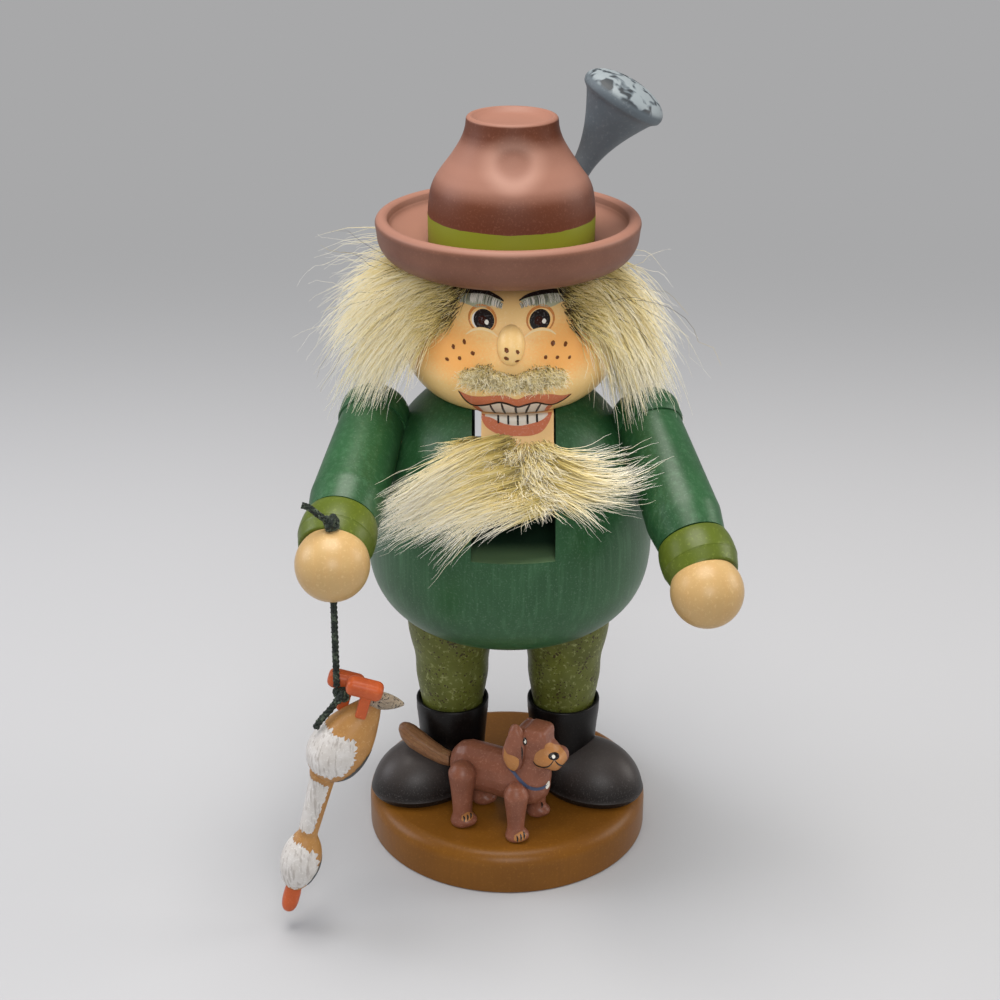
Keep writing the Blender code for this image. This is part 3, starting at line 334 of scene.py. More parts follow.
def paintedWood(name, colour, dark, pale, roughness=0.42, mottle=(0.012, 0.35), specks=(0.0006, 0.35),
                brushed=0.02, specular=0.32):
    # Brushed acrylic on turned beech under satin lacquer: even colour with cloudy patches and a pale
    # dust of tiny specks, and a faint ripple that breaks up the highlights.
    # mottle is the patch size in metres and its strength, specks the speck size and its strength.
    material, tree, shader = newMaterial(name, colour, roughness, specular)
    place = addNode(tree, "TexCoord", take="Object")
    cloud = addNode(tree, "TexNoise", {"Vector": place, "Scale": 1 / mottle[0], "Detail": 3.0, "Roughness": 0.55})
    dustAndLitFloor = addNode(tree, "TexNoise", {"Vector": place, "Scale": 1 / specks[0], "Detail": 2.0, "Roughness": 0.6})
    overPaint(material, cloud, dark, 0.35, 0.68, mottle[1])
    overPaint(material, dustAndLitFloor, pale, 0.56, 0.72, specks[1])
    gloss = addNode(tree, "MapRange", (cloud, 0, 1, roughness - 0.06, roughness + 0.08))
    tree.links.new(gloss, shader.inputs["Roughness"])
    ripple = addNode(tree, "TexNoise", {"Vector": place, "Scale": 420.0, "Detail": 4.0, "Roughness": 0.6})
    bump = addNode(tree, "Bump", {"Height": ripple, "Strength": 0.5, "Distance": brushed * mm})
    tree.links.new(bump, shader.inputs["Normal"])
    return material, tree, place


def streaks(tree, place, squeeze, scale, detail):
    # Grain or bristle marks that run up the piece.
    long = addNode(tree, "Mapping", {"Vector": place, "Scale": (1.0, 1.0, squeeze)})
    return addNode(tree, "TexNoise", {"Vector": long, "Scale": scale, "Detail": detail})


def paintedTopLight(tree, low, high, strength):
    # Painted light from above: none where the surface's normal rises less than low, full at high.
    upward = addNode(tree, "SeparateXYZ", {"Vector": addNode(tree, "NewGeometry", take="Normal")}, "Z")
    return addNode(tree, "MapRange", (upward, low, high, 0, strength), **soft)


# Cord: a thin braid from the knot on the hand down to the knot at the goose's feet

cord = {
    "hand": (-40.82, -51.57, 101.57),    # centre of the figure's right hand, mm
    "handRadius": 8.7, "top": 110.6, "low": 69.5, "radius": 0.85,
    "strands": 8,
    "strandShare": 0.38,                 # a strand's radius as a share of the cord's
    "lay": 5.2,                          # mm in which a strand goes once round
    "knotRadius": 2.2, "knotHeight": 4.0, "knotAside": 0.9,
    "gooseKnot": 67.17,                  # height of the knot at the goose's feet
    "tailTop": 6.6, "tailLow": 7.76,     # reach of the loose ends
}


def framesAlong(points):
    # A steady frame at each point of a path.
    frames, side = [], None
    for i, here in enumerate(points):
        ahead = (points[min(i + 1, len(points) - 1)] - points[max(i - 1, 0)]).normalized()
        if side is None:
            side = ahead.orthogonal().normalized()
        side = (side - ahead * side.dot(ahead)).normalized()
        frames.append((here, side, ahead.cross(side)))
    return frames


def addTube(shape, frames, radius, sides, tone, layer):
    # A closed tube in mm along a path's frames.
    rings = [[shape.verts.new((centre + (side * math.cos(a) + other * math.sin(a)) * radius) * mm)
              for a in (2 * math.pi * k / sides for k in range(sides))] for centre, side, other in frames]
    for first, second in zip(rings, rings[1:]):
        for k in range(sides):
            shape.faces.new((first[k], first[(k + 1) % sides], second[(k + 1) % sides], second[k]))
    shape.faces.new(rings[0][::-1])
    shape.faces.new(rings[-1])
    for ring in rings:
        for vert in ring:
            vert[layer] = tone


def evenly(points, step):
    # Points a step apart along a path in mm.
    points = [Vector(p) for p in points]
    result, left = [points[0]], step
    for a, b in zip(points, points[1:]):
        span = (b - a).length
        while left <= span:
            result.append(a + (b - a) * left / span)
            left += step
        left -= span
    result.append(points[-1])
    return result


def braidMesh(name, paths, radius):
    # Half of the strands wind one way and half the other, over one and under one.
    shape = bmesh.new()
    layer = shape.verts.layers.float.new("tone")
    count, thin = cord["strands"], radius * cord["strandShare"]
    for path in paths:
        points = evenly(path, cord["lay"] / 26)
        frames = framesAlong(points)
        addTube(shape, frames, radius * 0.62, 8, 0.0, layer)
        for k in range(count):
            turn = 1 if k % 2 else -1
            line, gone = [], 0.0
            for i, (centre, side, other) in enumerate(frames):
                gone += (points[i] - points[i - 1]).length if i else 0.0
                angle = turn * 2 * math.pi * gone / cord["lay"] + 2 * math.pi * (k // 2) / (count / 2)
                wave = math.cos(count / 2 * 2 * math.pi * gone / cord["lay"] + math.pi * (k % 2))
                out = radius - thin * 1.15 + thin * 0.32 * wave
                line.append(centre + (side * math.cos(angle) + other * math.sin(angle)) * out)
            addTube(shape, framesAlong(line), thin, 5, (k * 0.37) % 1.0, layer)
    bmesh.ops.recalc_face_normals(shape, faces=shape.faces)
    return meshFrom(shape, name)


def knotPath(centre):
    # A tight overhand knot: a trefoil line.
    size = (cord["knotRadius"] - cord["radius"]) / 3
    tall = cord["knotHeight"] / 2 - cord["radius"]
    return [centre + Vector((size * (math.sin(a) + 2 * math.sin(2 * a)),
                             size * (math.cos(a) - 2 * math.cos(2 * a)), -tall * math.sin(3 * a)))
            for a in (2 * math.pi * i / 60 for i in range(61))]


# Braided polyester craft cord, dark bottle green with a few paler threads: matt, with a little sheen.
cordMaterial, tree, _ = newMaterial("braidedGreenPolyester", "#17211A", 0.62, 0.4)
thread = addNode(tree, "Attribute", take="Fac", attribute_name="tone")
fleck = addNode(tree, "TexNoise", {"Vector": addNode(tree, "TexCoord", take="Object"), "Scale": 1900.0, "Detail": 2.0})
mixed = addNode(tree, "Math:MULTIPLY", (thread, fleck))
overPaint(cordMaterial, mixed, "#5E6B57", 0.22, 0.6)

print("cord")
hand = Vector(cord["hand"])
route = [(hand.x, hand.y, cord["top"] + (cord["low"] - cord["top"]) * i / 30) for i in range(31)]
cordPiece = addPiece("cord", braidMesh("cord", [route], cord["radius"]), "cord",
                     ["cord_in_hand", "cord_drop"], cordMaterial)
knotTop = hand + Vector((0, 0, cord["handRadius"] + cord["knotHeight"] * 0.45))
knotLow = Vector((hand.x + cord["knotAside"], hand.y, cord["gooseKnot"]))
for name, body, node, knot, radius, reach, tail in (
        ("cord_knot_on_hand", "figure", "cord_top_knot", knotTop, cord["radius"] * 0.95, cord["tailTop"],
         ((-0.35, -0.08, 0.3), (-0.7, -0.12, 0.62), (-0.95, -0.12, 0.72))),
        ("cord_knot_at_goose", "goose", "cord_low_knot", knotLow, cord["radius"], cord["tailLow"],
         ((-0.3, -0.12, -0.42), (-0.62, -0.25, -0.75), (-0.78, -0.3, -1.0)))):
    loose = smoothLine([knot] + [knot + Vector(step) * reach for step in tail])
    mesh = braidMesh(name, [knotPath(knot), loose], radius)
    addPiece(name, mesh, body, [node], cordMaterial)
cordPiece.parent = None
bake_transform(cordPiece)
[c * mm for c in route[0]]
[[c * mm for c in p] for p in route]


# Base, boots and breeches

base = {"radius": 37.5, "thickness": 11.7, "edge": 4.0, "foot": 0.6}
legs = {"spread": 14.9, "footZ": 12.0, "footLength": 31.0, "footWidth": 24.0, "footHeight": 14.0, "turnOut": 58.0,
        "footAhead": 8.9}


def arc(centre, radii, first, last, count):
    # Points (radius, height) on a round or oval edge, by angle in degrees above level.
    return [(centre[0] + radii[0] * math.cos(math.radians(first + (last - first) * i / count)),
             centre[1] + radii[1] * math.sin(math.radians(first + (last - first) * i / count)))
            for i in range(count + 1)]


# Turned beech under golden brown stain: streaks run up the side, and the end grain on top shows as dots.
goldenStain, tree, place = paintedWood("goldenStainedBeech", "#7F5119", "#6B4213", "#A67433", 0.34, (0.02, 0.5),
                                       (0.0006, 0.28), 0.02, 0.22)
overPaint(goldenStain, streaks(tree, place, 0.05, 1300.0, 3.0), "#704417", 0.48, 0.7, 0.32)
# Black paint on turned wood, rubbed satin, made darker on the shafts as painted shade.
shadedBootBlack, tree, place = paintedWood("shadedBlackBootPaint", "#0D0A09", "#070505", "#5A5452", 0.38, (0.008, 0.6),
                                     (0.0004, 0.14), 0.02, 0.25)
# The same black on the feet, a little lighter, with a brown-grey painted highlight on their upper sides where light
# from above falls.
topLitBootBlack, tree, place = paintedWood("topLitBlackBootPaint", "#1A1513", "#120E0C", "#8A8482", 0.42, (0.008, 0.6),
                                     (0.0004, 0.2), 0.03, 0.3)
overPaint(topLitBootBlack, paintedTopLight(tree, 0.1, 0.85, 0.62), "#57504D")
# Moss-green paint sponged with darker green and pale lime, then flicked with brown specks under 1 mm.
breechesGreen, tree, place = paintedWood("flickedMossGreenPaint", "#5E6325", "#494D1A", "#A1A56D", 0.46,
                                         (0.007, 0.75), (0.0011, 0.55))
fleck = addNode(tree, "TexVoronoi", {"Vector": place, "Scale": 1150.0, "Randomness": 1.0})
warped = addNode(tree, "TexNoise", {"Vector": place, "Scale": 300.0, "Detail": 2.0})
limit = addNode(tree, "MapRange", (warped, 0.36, 0.66, 0, 0.42))
overPaint(breechesGreen, addNode(tree, "Math:LESS_THAN", (fleck, limit)), "#3A3118")

print("base and legs")
inner, foot = base["radius"] - base["edge"], base["foot"]
disc = [(0, base["thickness"])] + arc((inner, base["thickness"] - base["edge"]), [base["edge"]] * 2, 90, 0, 10) + arc(
    (base["radius"] - foot, foot), (foot, foot), 0, -90, 4) + [(0, 0)]
addTurned("base_turned", disc, "base_disc", goldenStain, steps=160)
for side, name in ((-1, "right"), (1, "left")):
    place = Matrix.Translation((side * legs["spread"] * mm, 0, 0))
    shaft = smoothLine([(0, 35.4), (8.7, 35.4), (8.7, 35.4), (8.75, 36.8), (8.75, 36.8)]) + arc(
        (9.25, 36.85), (0.45, 0.45), 160, 0, 6) + smoothLine([
            (9.6, 34.0), (9.25, 30.7), (8.85, 26.0), (8.6, 21.8), (8.6, 16.0), (8.9, 12.0), (8.9, 12.0), (0, 12.0)])
    addTurned(name + "_boot_leg", shaft, name + "_boot_shaft", shadedBootBlack, place)
    half = legs["footWidth"] / 2
    foot = [(0, legs["footZ"] + legs["footHeight"])] + [
        (half * math.cos(a) * (1 - 0.03 * math.cos(a) ** 8), legs["footZ"] + legs["footHeight"] * math.sin(a))
        for a in (math.radians(90 - 80 * i / 22) for i in range(1, 23))] + smoothLine([
            (half * 0.975, 14.0), (half * 0.94, 12.9), (half * 0.89, 12.05), (half * 0.89, 12.05), (0, 12.05)])
    turn = math.radians(-90 + side * legs["turnOut"])
    ahead = Vector((math.cos(turn), math.sin(turn), 0)) * legs["footAhead"] * mm
    long = Matrix.Rotation(turn, 4, "Z") @ Matrix.Diagonal((legs["footLength"] / legs["footWidth"], 1, 1, 1))
    toePlace = Matrix.Translation(ahead) @ place @ long
    addTurned(name + "_boot_toe", foot, name + "_boot_foot", topLitBootBlack, toePlace)
    leg = smoothLine([(0, 71.0), (11.7, 71.0), (11.7, 71.0), (11.75, 62.2), (11.4, 58.0), (10.75, 54.7), (10.05, 51.8),
                      (9.7, 49.0), (9.6, 45.4), (9.1, 41.8), (8.35, 37.4), (8.1, 35.7), (8.1, 35.7), (0, 35.7)])
    addTurned(name + "_breeches_leg", leg, name + "_breeches", breechesGreen, place)


# Coat, arms and hands

coat = {"radius": 36.5, "collar": 18.2, "bottom": 62.2, "waist": 88.0, "top": 126.0, "depth": 27.0, "power": 2.8,
        "slotLow": -9.3, "slotHigh": 10.9, "slotFloor": 94.3}
arm = {"length": 53.2, "spreads": {-1: (9.2, 19.7), 1: (17.1, 30.9)}, "shoulder": (33.6, 2.0, 119.5),
       "handRadius": 8.7, "handInward": 0.8}


def coatRadius(z):
    if z >= coat["waist"]:
        rise = (coat["top"] - coat["waist"]) / math.sin(math.acos(coat["collar"] / coat["radius"]))
        return coat["radius"] * math.sqrt(max(1 - ((z - coat["waist"]) / rise) ** 2, 0))
    drop = (coat["waist"] - z) / coat["depth"]
    return coat["radius"] * max(1 - drop ** coat["power"], 0) ** (1 / coat["power"])


# Bottle-green acrylic brushed up and down the turned wood: satin, with a pale dust in the brush marks.
coatGreen, tree, place = paintedWood("brushedBottleGreenPaint", "#27542F", "#1B4223", "#7C9A80", 0.38, (0.014, 0.6),
                                     (0.0005, 0.22), 0.03, 0.42)
overPaint(coatGreen, streaks(tree, place, 0.06, 800.0, 4.0), "#527F5A", 0.5, 0.74, 0.3)
# The coat's green, darkened almost to black down in the slot as painted shade, with a painted grey-green light on the
# front of its floor where light reaches in.
shadedSlotGreen, tree, place = paintedWood("greenPaintShadedInSlot", "#24432E", "#101C13", "#4A6B52", 0.6, (0.01, 0.6),
                                     (0.0006, 0.2))
ahead = addNode(tree, "SeparateXYZ", {"Vector": place}, "Y")
dustAndLitFloor = addNode(tree, "MapRange", (ahead, -23.0 * mm, -32.0 * mm), **soft)
overPaint(shadedSlotGreen, addNode(tree, "Math:MULTIPLY", (dustAndLitFloor, paintedTopLight(tree, 0.5, 0.9, 1.0))), "#67855F")
# Lime green brushed thinly on the cuff rings, satin.
cuffGreen = paintedWood("limeGreenPaint", "#55631A", "#475314", "#99A94E", 0.38, (0.008, 0.5), (0.0008, 0.2))[0]
# Bare beech ball, sealed with clear satin lacquer: pale cream with faint rings.
bareBeech, tree, place = paintedWood("lacqueredBareBeech", "#C2A16D", "#B8935E", "#E6C998", 0.33, (0.009, 0.6),
                                     (0.0007, 0.3), 0.01)
rings = addNode(tree, "TexWave", {"Vector": place, "Scale": 110.0, "Distortion": 3.0, "Detail": 2.0}, "Fac",
                bands_direction="X")
overPaint(bareBeech, rings, "#C89F68", 0.6, 1.0, 0.16)

print("coat and arms")
top, bottom = coat["top"], coat["bottom"]
outline = [(0, top), (coat["collar"] - 0.6, top)] + [
    (coatRadius(z), z) for z in (top - (top - bottom) * i / 72 for i in range(73))] + [(0, bottom)]
outline[2] = (coatRadius(top) - 0.25, top - 0.12)
outline[-2] = (outline[-2][0] - 0.3, bottom)
slot = blockMesh("slotCutter", (coat["slotLow"], -60, coat["slotFloor"]), (coat["slotHigh"], 60, 160))
coatMesh = cut(turnedMesh("coat", outline, steps=192), slot)
dress(coatMesh, coatGreen, shadedSlotGreen)
# The slot's walls and floor take the green with painted shade.
for face in coatMesh.polygons:
    x, z = face.center.x / mm, face.center.z / mm
    walls = abs(face.normal.x) > 0.95 and (abs(x - coat["slotLow"]) < 0.05 or abs(x - coat["slotHigh"]) < 0.05)
    floor = abs(z - coat["slotFloor"]) < 0.05 and face.normal.z > 0.95
    face.material_index = 1 if walls or floor else 0
addPiece("coat", coatMesh, "figure", ["coat_body"], smooth=30)


def armFrame(side):
    spread, drop = (math.radians(a) for a in arm["spreads"][side])
    x, y, z = arm["shoulder"]
    ahead = Vector((side * math.sin(spread) * math.cos(drop), -math.cos(spread) * math.cos(drop), -math.sin(drop)))
    return aimed(Vector((side * x, -y, z)) + ahead * arm["length"], -ahead)


for side, name in ((-1, "right"), (1, "left")):
    place = armFrame(side)
    sleeve = smoothLine([(0, 48.2), (7.9, 48.2), (7.9, 48.2), (8.1, 47.8), (8.55, 37.0), (9.05, 24.0), (9.2, 21.3),
                         (9.1, 19.7), (8.75, 17.2), (8.3, 14.2), (8.3, 14.2), (0, 14.1)])
    cap = [(0, 59.0)] + arc((0, 53.0), (8.7, 5.5), 85, 0, 14) + [(8.7, 49.2), (8.45, 48.5), (0, 48.5)]
    cuff = smoothLine([(0, 13.8), (8.3, 13.8), (8.3, 13.8), (8.6, 13.5), (9.05, 11.6), (9.2, 9.4), (9.15, 7.6),
                       (9.05, 7.3), (9.05, 7.3), (8.3, 4.4), (7.9, 3.8), (7.9, 3.8), (0, 3.8)])
    size = arm["handRadius"]
    ball = [(0, size)] + arc((0, 0), (size, size), 85.5, -85.5, 38) + [(0, -size)]
    centre = Matrix.Translation(place @ Vector((side * arm["handInward"] * mm, 0, 0)))
    addTurned(name + "_sleeve", sleeve, name + "_arm", coatGreen, place)
    addTurned(name + "_cap", cap, name + "_shoulder_cap", coatGreen, place)
    addTurned(name + "_cuff_ring", cuff, name + "_cuff", cuffGreen, place)
    addTurned(name + "_ball_hand", ball, name + "_hand", bareBeech, centre)


# Jaw lever: chin in front, arm through the slot and handle behind

lever = {"width": 17.4, "centre": 1.7, "pinY": 2.0, "pinZ": 110.0, "lip": 2.0, "lipDepth": 8.0, "top": 125.8,
         "opening": 25.0, "behindCoat": 2.6, "handleWidth": 7.0, "handleEnd": 55.2, "edge": 0.5,
         "edgeAround": 0.785, "paintFrom": (-8.0, 119.0), "paintTop": 126.9}


def chinRadius(z):
    below = (coat["top"] - z) / lever["lipDepth"]
    return coatRadius(min(z, coat["top"] - 0.3)) + lever["lip"] * (1 - min(max(below, 0), 1)) ** 1.5


# Skin-coloured paint, warm and pale, on turned wood under satin lacquer, slightly speckled.
skinPaint, skinTree, skinPlace = paintedWood("warmSkinPaint", "#F9D28E", "#F3C47C", "#FFE8BE", 0.34, (0.01, 0.45),
                                             (0.0006, 0.3), 0.01)
# The same paint on the chin, a little duller.
chinPaint = paintedWood("chinSkinPaint", "#F4CC90", "#EABC7C", "#FBE2B6", 0.4, (0.01, 0.4), (0.0006, 0.25), 0.01)[0]

print("jaw lever")
opening = math.radians(lever["opening"])
pinY, pinZ = lever["pinY"], lever["pinZ"]
topZ, floorZ = lever["top"] - pinZ, coat["slotFloor"] + 1.0 - pinZ
heelY, heelZ = floorZ * math.sin(opening), floorZ * math.cos(opening)
frontY = -(coat["radius"] + lever["lip"]) - pinY
under = (frontY, heelZ - (frontY - heelY) * math.tan(opening))
backY = coat["radius"] + lever["behindCoat"] - pinY
outerY, endZ, waistZ = backY + lever["handleWidth"], lever["handleEnd"] - pinZ, coat["waist"] - pinZ
middleZ = (waistZ + endZ) / 2
corners = [(frontY, topZ), under, under, (heelY, heelZ), (backY * 0.72, floorZ), (backY - 0.6, floorZ - 0.4),
           (backY + 0.4, waistZ), (backY + 0.8, middleZ), (backY, endZ + 1), (backY + 1.2, endZ - 0.6),
           (outerY * 0.98 - 1, endZ - 0.6), (outerY * 0.98 + 0.3, endZ + 1.0), (outerY + 1.6, middleZ),
           (outerY + 1.0, waistZ), (outerY - 1.0, waistZ + 7.0), (outerY * 0.84, floorZ + 7.0),
           (outerY * 0.55, floorZ + 15.4)]
corners += [(topZ * math.sin(a), topZ * math.cos(a)) for a in (math.radians(50), math.radians(25), 0.0)]
leverLine = smoothLine(corners + [corners[0]], 4)
low, high = lever["centre"] - lever["width"] / 2, lever["centre"] + lever["width"] / 2
shape = bmesh.new()
near, far = ([shape.verts.new(Vector((x, p.x + pinY, p.y + pinZ)) * mm) for p in leverLine[:-1]] for x in (low, high))
shape.faces.new(near)
shape.faces.new(far[::-1])
for i in range(len(near)):
    j = (i + 1) % len(near)
    shape.faces.new((near[j], near[i], far[i], far[j]))
bmesh.ops.recalc_face_normals(shape, faces=shape.faces)
heights = [126.6 - 0.6 * i for i in range(60)]
cutterTop, cutterOut = 127.0, 80.0
ring = [(cutterOut, cutterTop), (cutterOut, heights[-1])] + [
    (chinRadius(min(z, coat["top"])), z) for z in heights[::-1]] + [
    (chinRadius(coat["top"]), cutterTop), (cutterOut, cutterTop)]
half = blockMesh("chinHalf", (-90, -90, 60), (90, 0, 140))
leverMesh = cut(meshFrom(shape, "lever"), cut(turnedMesh("chinCutter", ring, steps=192), half, "INTERSECT"))
leverMesh = bevelled(leverMesh, lever["edge"], 3, limit_method="ANGLE", angle_limit=math.radians(50))
dress(leverMesh, coatGreen, chinPaint, shadedSlotGreen)
paintY, paintZ = lever["paintFrom"]
# Where the lever lies inside the slot it takes the green with painted shade.
for face in leverMesh.polygons:
    x, y, z = face.center / mm
    outside = y > 0 and math.hypot(x, y) > coatRadius(z) + 0.5
    chin = y < 0 and math.hypot(x, y) > chinRadius(z) - 0.9
    face.material_index = 1 if chin or (y < paintY and z > paintZ) else 0 if outside else 2
addPiece("jaw", leverMesh, "jaw", ["jaw_lever"], smooth=35)


# Head and painted face

head = {"radius": 25.8, "jawRadius": 19.4, "crownRadius": 14.5, "low": 126.3, "waist": 136.5, "top": 158.0,
        "noseSize": (6.6, 8.4, 9.6), "noseZ": 145.7, "noseOut": 1.0, "noseLean": -12}


def headRadius(z):
    if z >= head["waist"]:
        rise = (head["top"] - head["waist"]) / math.sin(math.acos(head["crownRadius"] / head["radius"]))
    else:
        rise = (head["waist"] - head["low"]) / math.sin(math.acos(head["jawRadius"] / head["radius"]))
    return head["radius"] * math.sqrt(max(1 - ((z - head["waist"]) / rise) ** 2, 0))


def onHead(x, z, lift=0.0):
    radius = headRadius(z) + lift
    return Vector((x, -math.sqrt(max(radius * radius - x * x, 0.01)), z))


def onChin(x, z, lift=0.0):
    # At its top the paint rolls over the lever's rounded edge and runs back on the flat top.
    edge = lever["edge"]
    upright = min(z, lever["top"] - edge)
    over = max(z - (lever["top"] - edge), 0.0)
    turned = min(over / edge, math.pi / 2)
    onTop = max(over - lever["edgeAround"], 0.0)
    radius = chinRadius(upright) + lift - edge * (1 - math.cos(turned)) - onTop + 0.15 * turned
    height = upright + (edge + lift) * math.sin(turned) + 0.08 * turned
    return Vector((x, -math.sqrt(max(radius * radius - x * x, 0.01)), height))


noseMiddle = Vector((0, -headRadius(head["noseZ"]) - head["noseOut"], head["noseZ"]))
noseTurn = Matrix.Rotation(math.radians(head["noseLean"]), 3, "X")


def onNose(x, z, lift=0.0):
    # Straight back from in front of the nose onto its egg shape.
    half = Vector(head["noseSize"]) / 2 + Vector((lift, lift, lift))
    for i in range(400):
        point = Vector((x, noseMiddle.y - 6 + 0.02 * i, z))
        local = noseTurn.transposed() @ (point - noseMiddle)
        if sum((local[k] / half[k]) ** 2 for k in range(3)) <= 1:
            return point
    return onHead(x, z, lift)


paints = {}    # colour name to the shape that gathers its patches


def paintPatch(paint, outline, surface, lift, step=0.45):
    # Fills an outline (x, z in mm) with small triangles laid on the surface like a coat of paint.
    outline = [Vector(p[:2]) for p in outline]
    edges = [(i, (i + 1) % len(outline)) for i in range(len(outline))]
    lowX, highX = min(p.x for p in outline), max(p.x for p in outline)
    lowZ, highZ = min(p.y for p in outline), max(p.y for p in outline)
    inner = [Vector((lowX + step * (i + 0.5 * (j % 2)), lowZ + step * j))
             for j in range(1, int((highZ - lowZ) / step) + 1) for i in range(1, int((highX - lowX) / step) + 1)]
    verts, _, faces, _, _, _ = delaunay_2d_cdt(outline + inner, edges, [list(range(len(outline)))], 1, 0.0001)
    shape = paints.setdefault(paint, bmesh.new())
    made = [shape.verts.new(surface(p.x, p.y, lift) * mm) for p in verts]
    for face in faces:
        if len(set(face)) > 2:
            fresh = shape.faces.new([made[i] for i in face])
            fresh.normal_update()
            if fresh.normal.y > 0:
                fresh.normal_flip()


def stroke(points, width, ends=0.15):
    # The outline of one brush stroke, thick in the middle and thin at its ends.
    line = smoothLine(points, 6) if len(points) > 2 else [Vector(p) for p in points]
    left, right = [], []
    for i, here in enumerate(line):
        ahead = (line[min(i + 1, len(line) - 1)] - line[max(i - 1, 0)]).normalized()
        part = i / (len(line) - 1)
        wide = width / 2 * (ends + (1 - ends) * math.sin(math.pi * min(max(part, 0.0), 1.0)) ** 0.6)
        left.append(Vector((here.x - ahead.y * wide, here.y + ahead.x * wide)))
        right.append(Vector((here.x + ahead.y * wide, here.y - ahead.x * wide)))
    return left + right[::-1]


def blob(x, z, wide, tall, turn=0.0, wobble=0.0, seed=1, count=20):
    draw = random.Random(seed)
    spin = Matrix.Rotation(math.radians(turn), 2)
    return [Vector((x, z)) + spin @ Vector((wide / 2 * math.cos(a), tall / 2 * math.sin(a)))
            * (1 + wobble * (draw.random() - 0.5)) for a in (2 * math.pi * i / count for i in range(count))]


def layPaint(name, material, body, paint):
    addPiece(name, meshFrom(paints.pop(paint), name), body, material=material, smooth=60)


# A soft orange blush is dabbed on both cheeks and fades out in a fine spatter.
for x, z in ((-13.5, 142.6), (13.0, 143.6)):
    off = addNode(skinTree, "VectorMath:SUBTRACT", (skinPlace, (x * mm, -21 * mm, z * mm)))
    flat = addNode(skinTree, "VectorMath:MULTIPLY", (off, (1000 / 10.5, 1000 / 16, 1000 / 8.0)))
    away = addNode(skinTree, "VectorMath:LENGTH", (flat,))
    spatter = addNode(skinTree, "TexNoise", {"Vector": skinPlace, "Scale": 2200.0, "Detail": 2.0})
    edge = addNode(skinTree, "Math:MULTIPLY_ADD", (spatter, 0.9, away))
    overPaint(skinPaint, edge, "#FFB05A", 1.7, 0.75, 0.75, **soft)
# Painted shade of the brim on the brow: the skin turns browner towards the top of the head.
skinHeight = addNode(skinTree, "SeparateXYZ", {"Vector": skinPlace}, "Z")
overPaint(skinPaint, skinHeight, "#A27A4A", 149.5 * mm, 157.0 * mm, 0.62, **soft)

facePaints = {
    # Brush paint on the face: thin acrylic, a little glossier than the skin under it.
    "blackBrushPaint": ("#1A1210", 0.35), "whiteBrushPaint": ("#E9E4D8", 0.35), "eyeRimPaint": ("#C77F3F", 0.4),
    "eyeBrownPaint": ("#351509", 0.25), "lidPaint": ("#F7D9A2", 0.4), "freckleBrownPaint": ("#713C12", 0.45),
    "browGreyPaint": ("#A6A88C", 0.5), "browShadePaint": ("#6C6E5E", 0.5), "lipTerracotta": ("#CE7856", 0.36),
    "toothPaint": ("#E4DACB", 0.33),
}
brush = {name: paintedWood(name, colour, colour, "#FFFFFF", rough, (0.004, 0.0), (0.0005, 0.12), 0.008)[0]
         for name, (colour, rough) in facePaints.items()}
brush["skinInEye"] = skinPaint

print("head")
headLow, headTop = head["low"], head["top"]
outline = [(0, headTop)] + [(headRadius(z), z) for z in (headTop - (headTop - headLow) * i / 64 for i in range(65))]
outline[-1:] = [(outline[-1][0] - 0.25, headLow), (0, headLow)]
addTurned("head_turned", outline, "head", skinPaint, steps=192)
nose = eggMesh("nose_painted", head["noseSize"], moved(noseMiddle) @ noseTurn.to_4x4(), 48, 32)
addPiece("nose_painted", nose, "figure", ["nose"], skinPaint)

eyes = {"left": (-6.75, 150.55, -6.5, 150.4, (-5.75, 150.0)), "right": (6.85, 150.5, 6.6, 150.4, (7.7, 150.1))}
for x, z, pupilX, pupilZ, (glintX, glintZ) in eyes.values():
    arch = [(x - 3.9, 147.3), (x - 2.2, 148.45), (x, 148.9), (x + 2.2, 148.45), (x + 3.7, 147.4)]
    lid = smoothLine(arch, 5) + smoothLine([(x + 3.6, 146.6), (x, 146.3), (x - 3.8, 146.6)], 4)
    for paint, patch, lift in (
            ("eyeRimPaint", blob(x, z, 6.8, 5.8, count=36), 0.05),
            ("skinInEye", blob(x, z - 0.15, 5.8, 4.9, count=32), 0.07),
            ("whiteBrushPaint", blob(x - 0.2, z - 0.3, 4.7, 4.0, count=32), 0.09),
            ("blackBrushPaint", blob(pupilX + 0.1, pupilZ, 4.9, 4.4, count=32), 0.11),
            ("eyeBrownPaint", blob(pupilX - 0.2, pupilZ - 0.1, 2.1, 1.9), 0.13),
            ("whiteBrushPaint", blob(glintX, glintZ, 0.95, 1.0, 30, 0.2, 5), 0.15),
            ("skinInEye", lid, 0.17),
            ("lidPaint", stroke([(px, pz - 0.35) for px, pz in arch], 0.55, 0.2), 0.19)):
        paintPatch(paint, patch, onHead, lift)

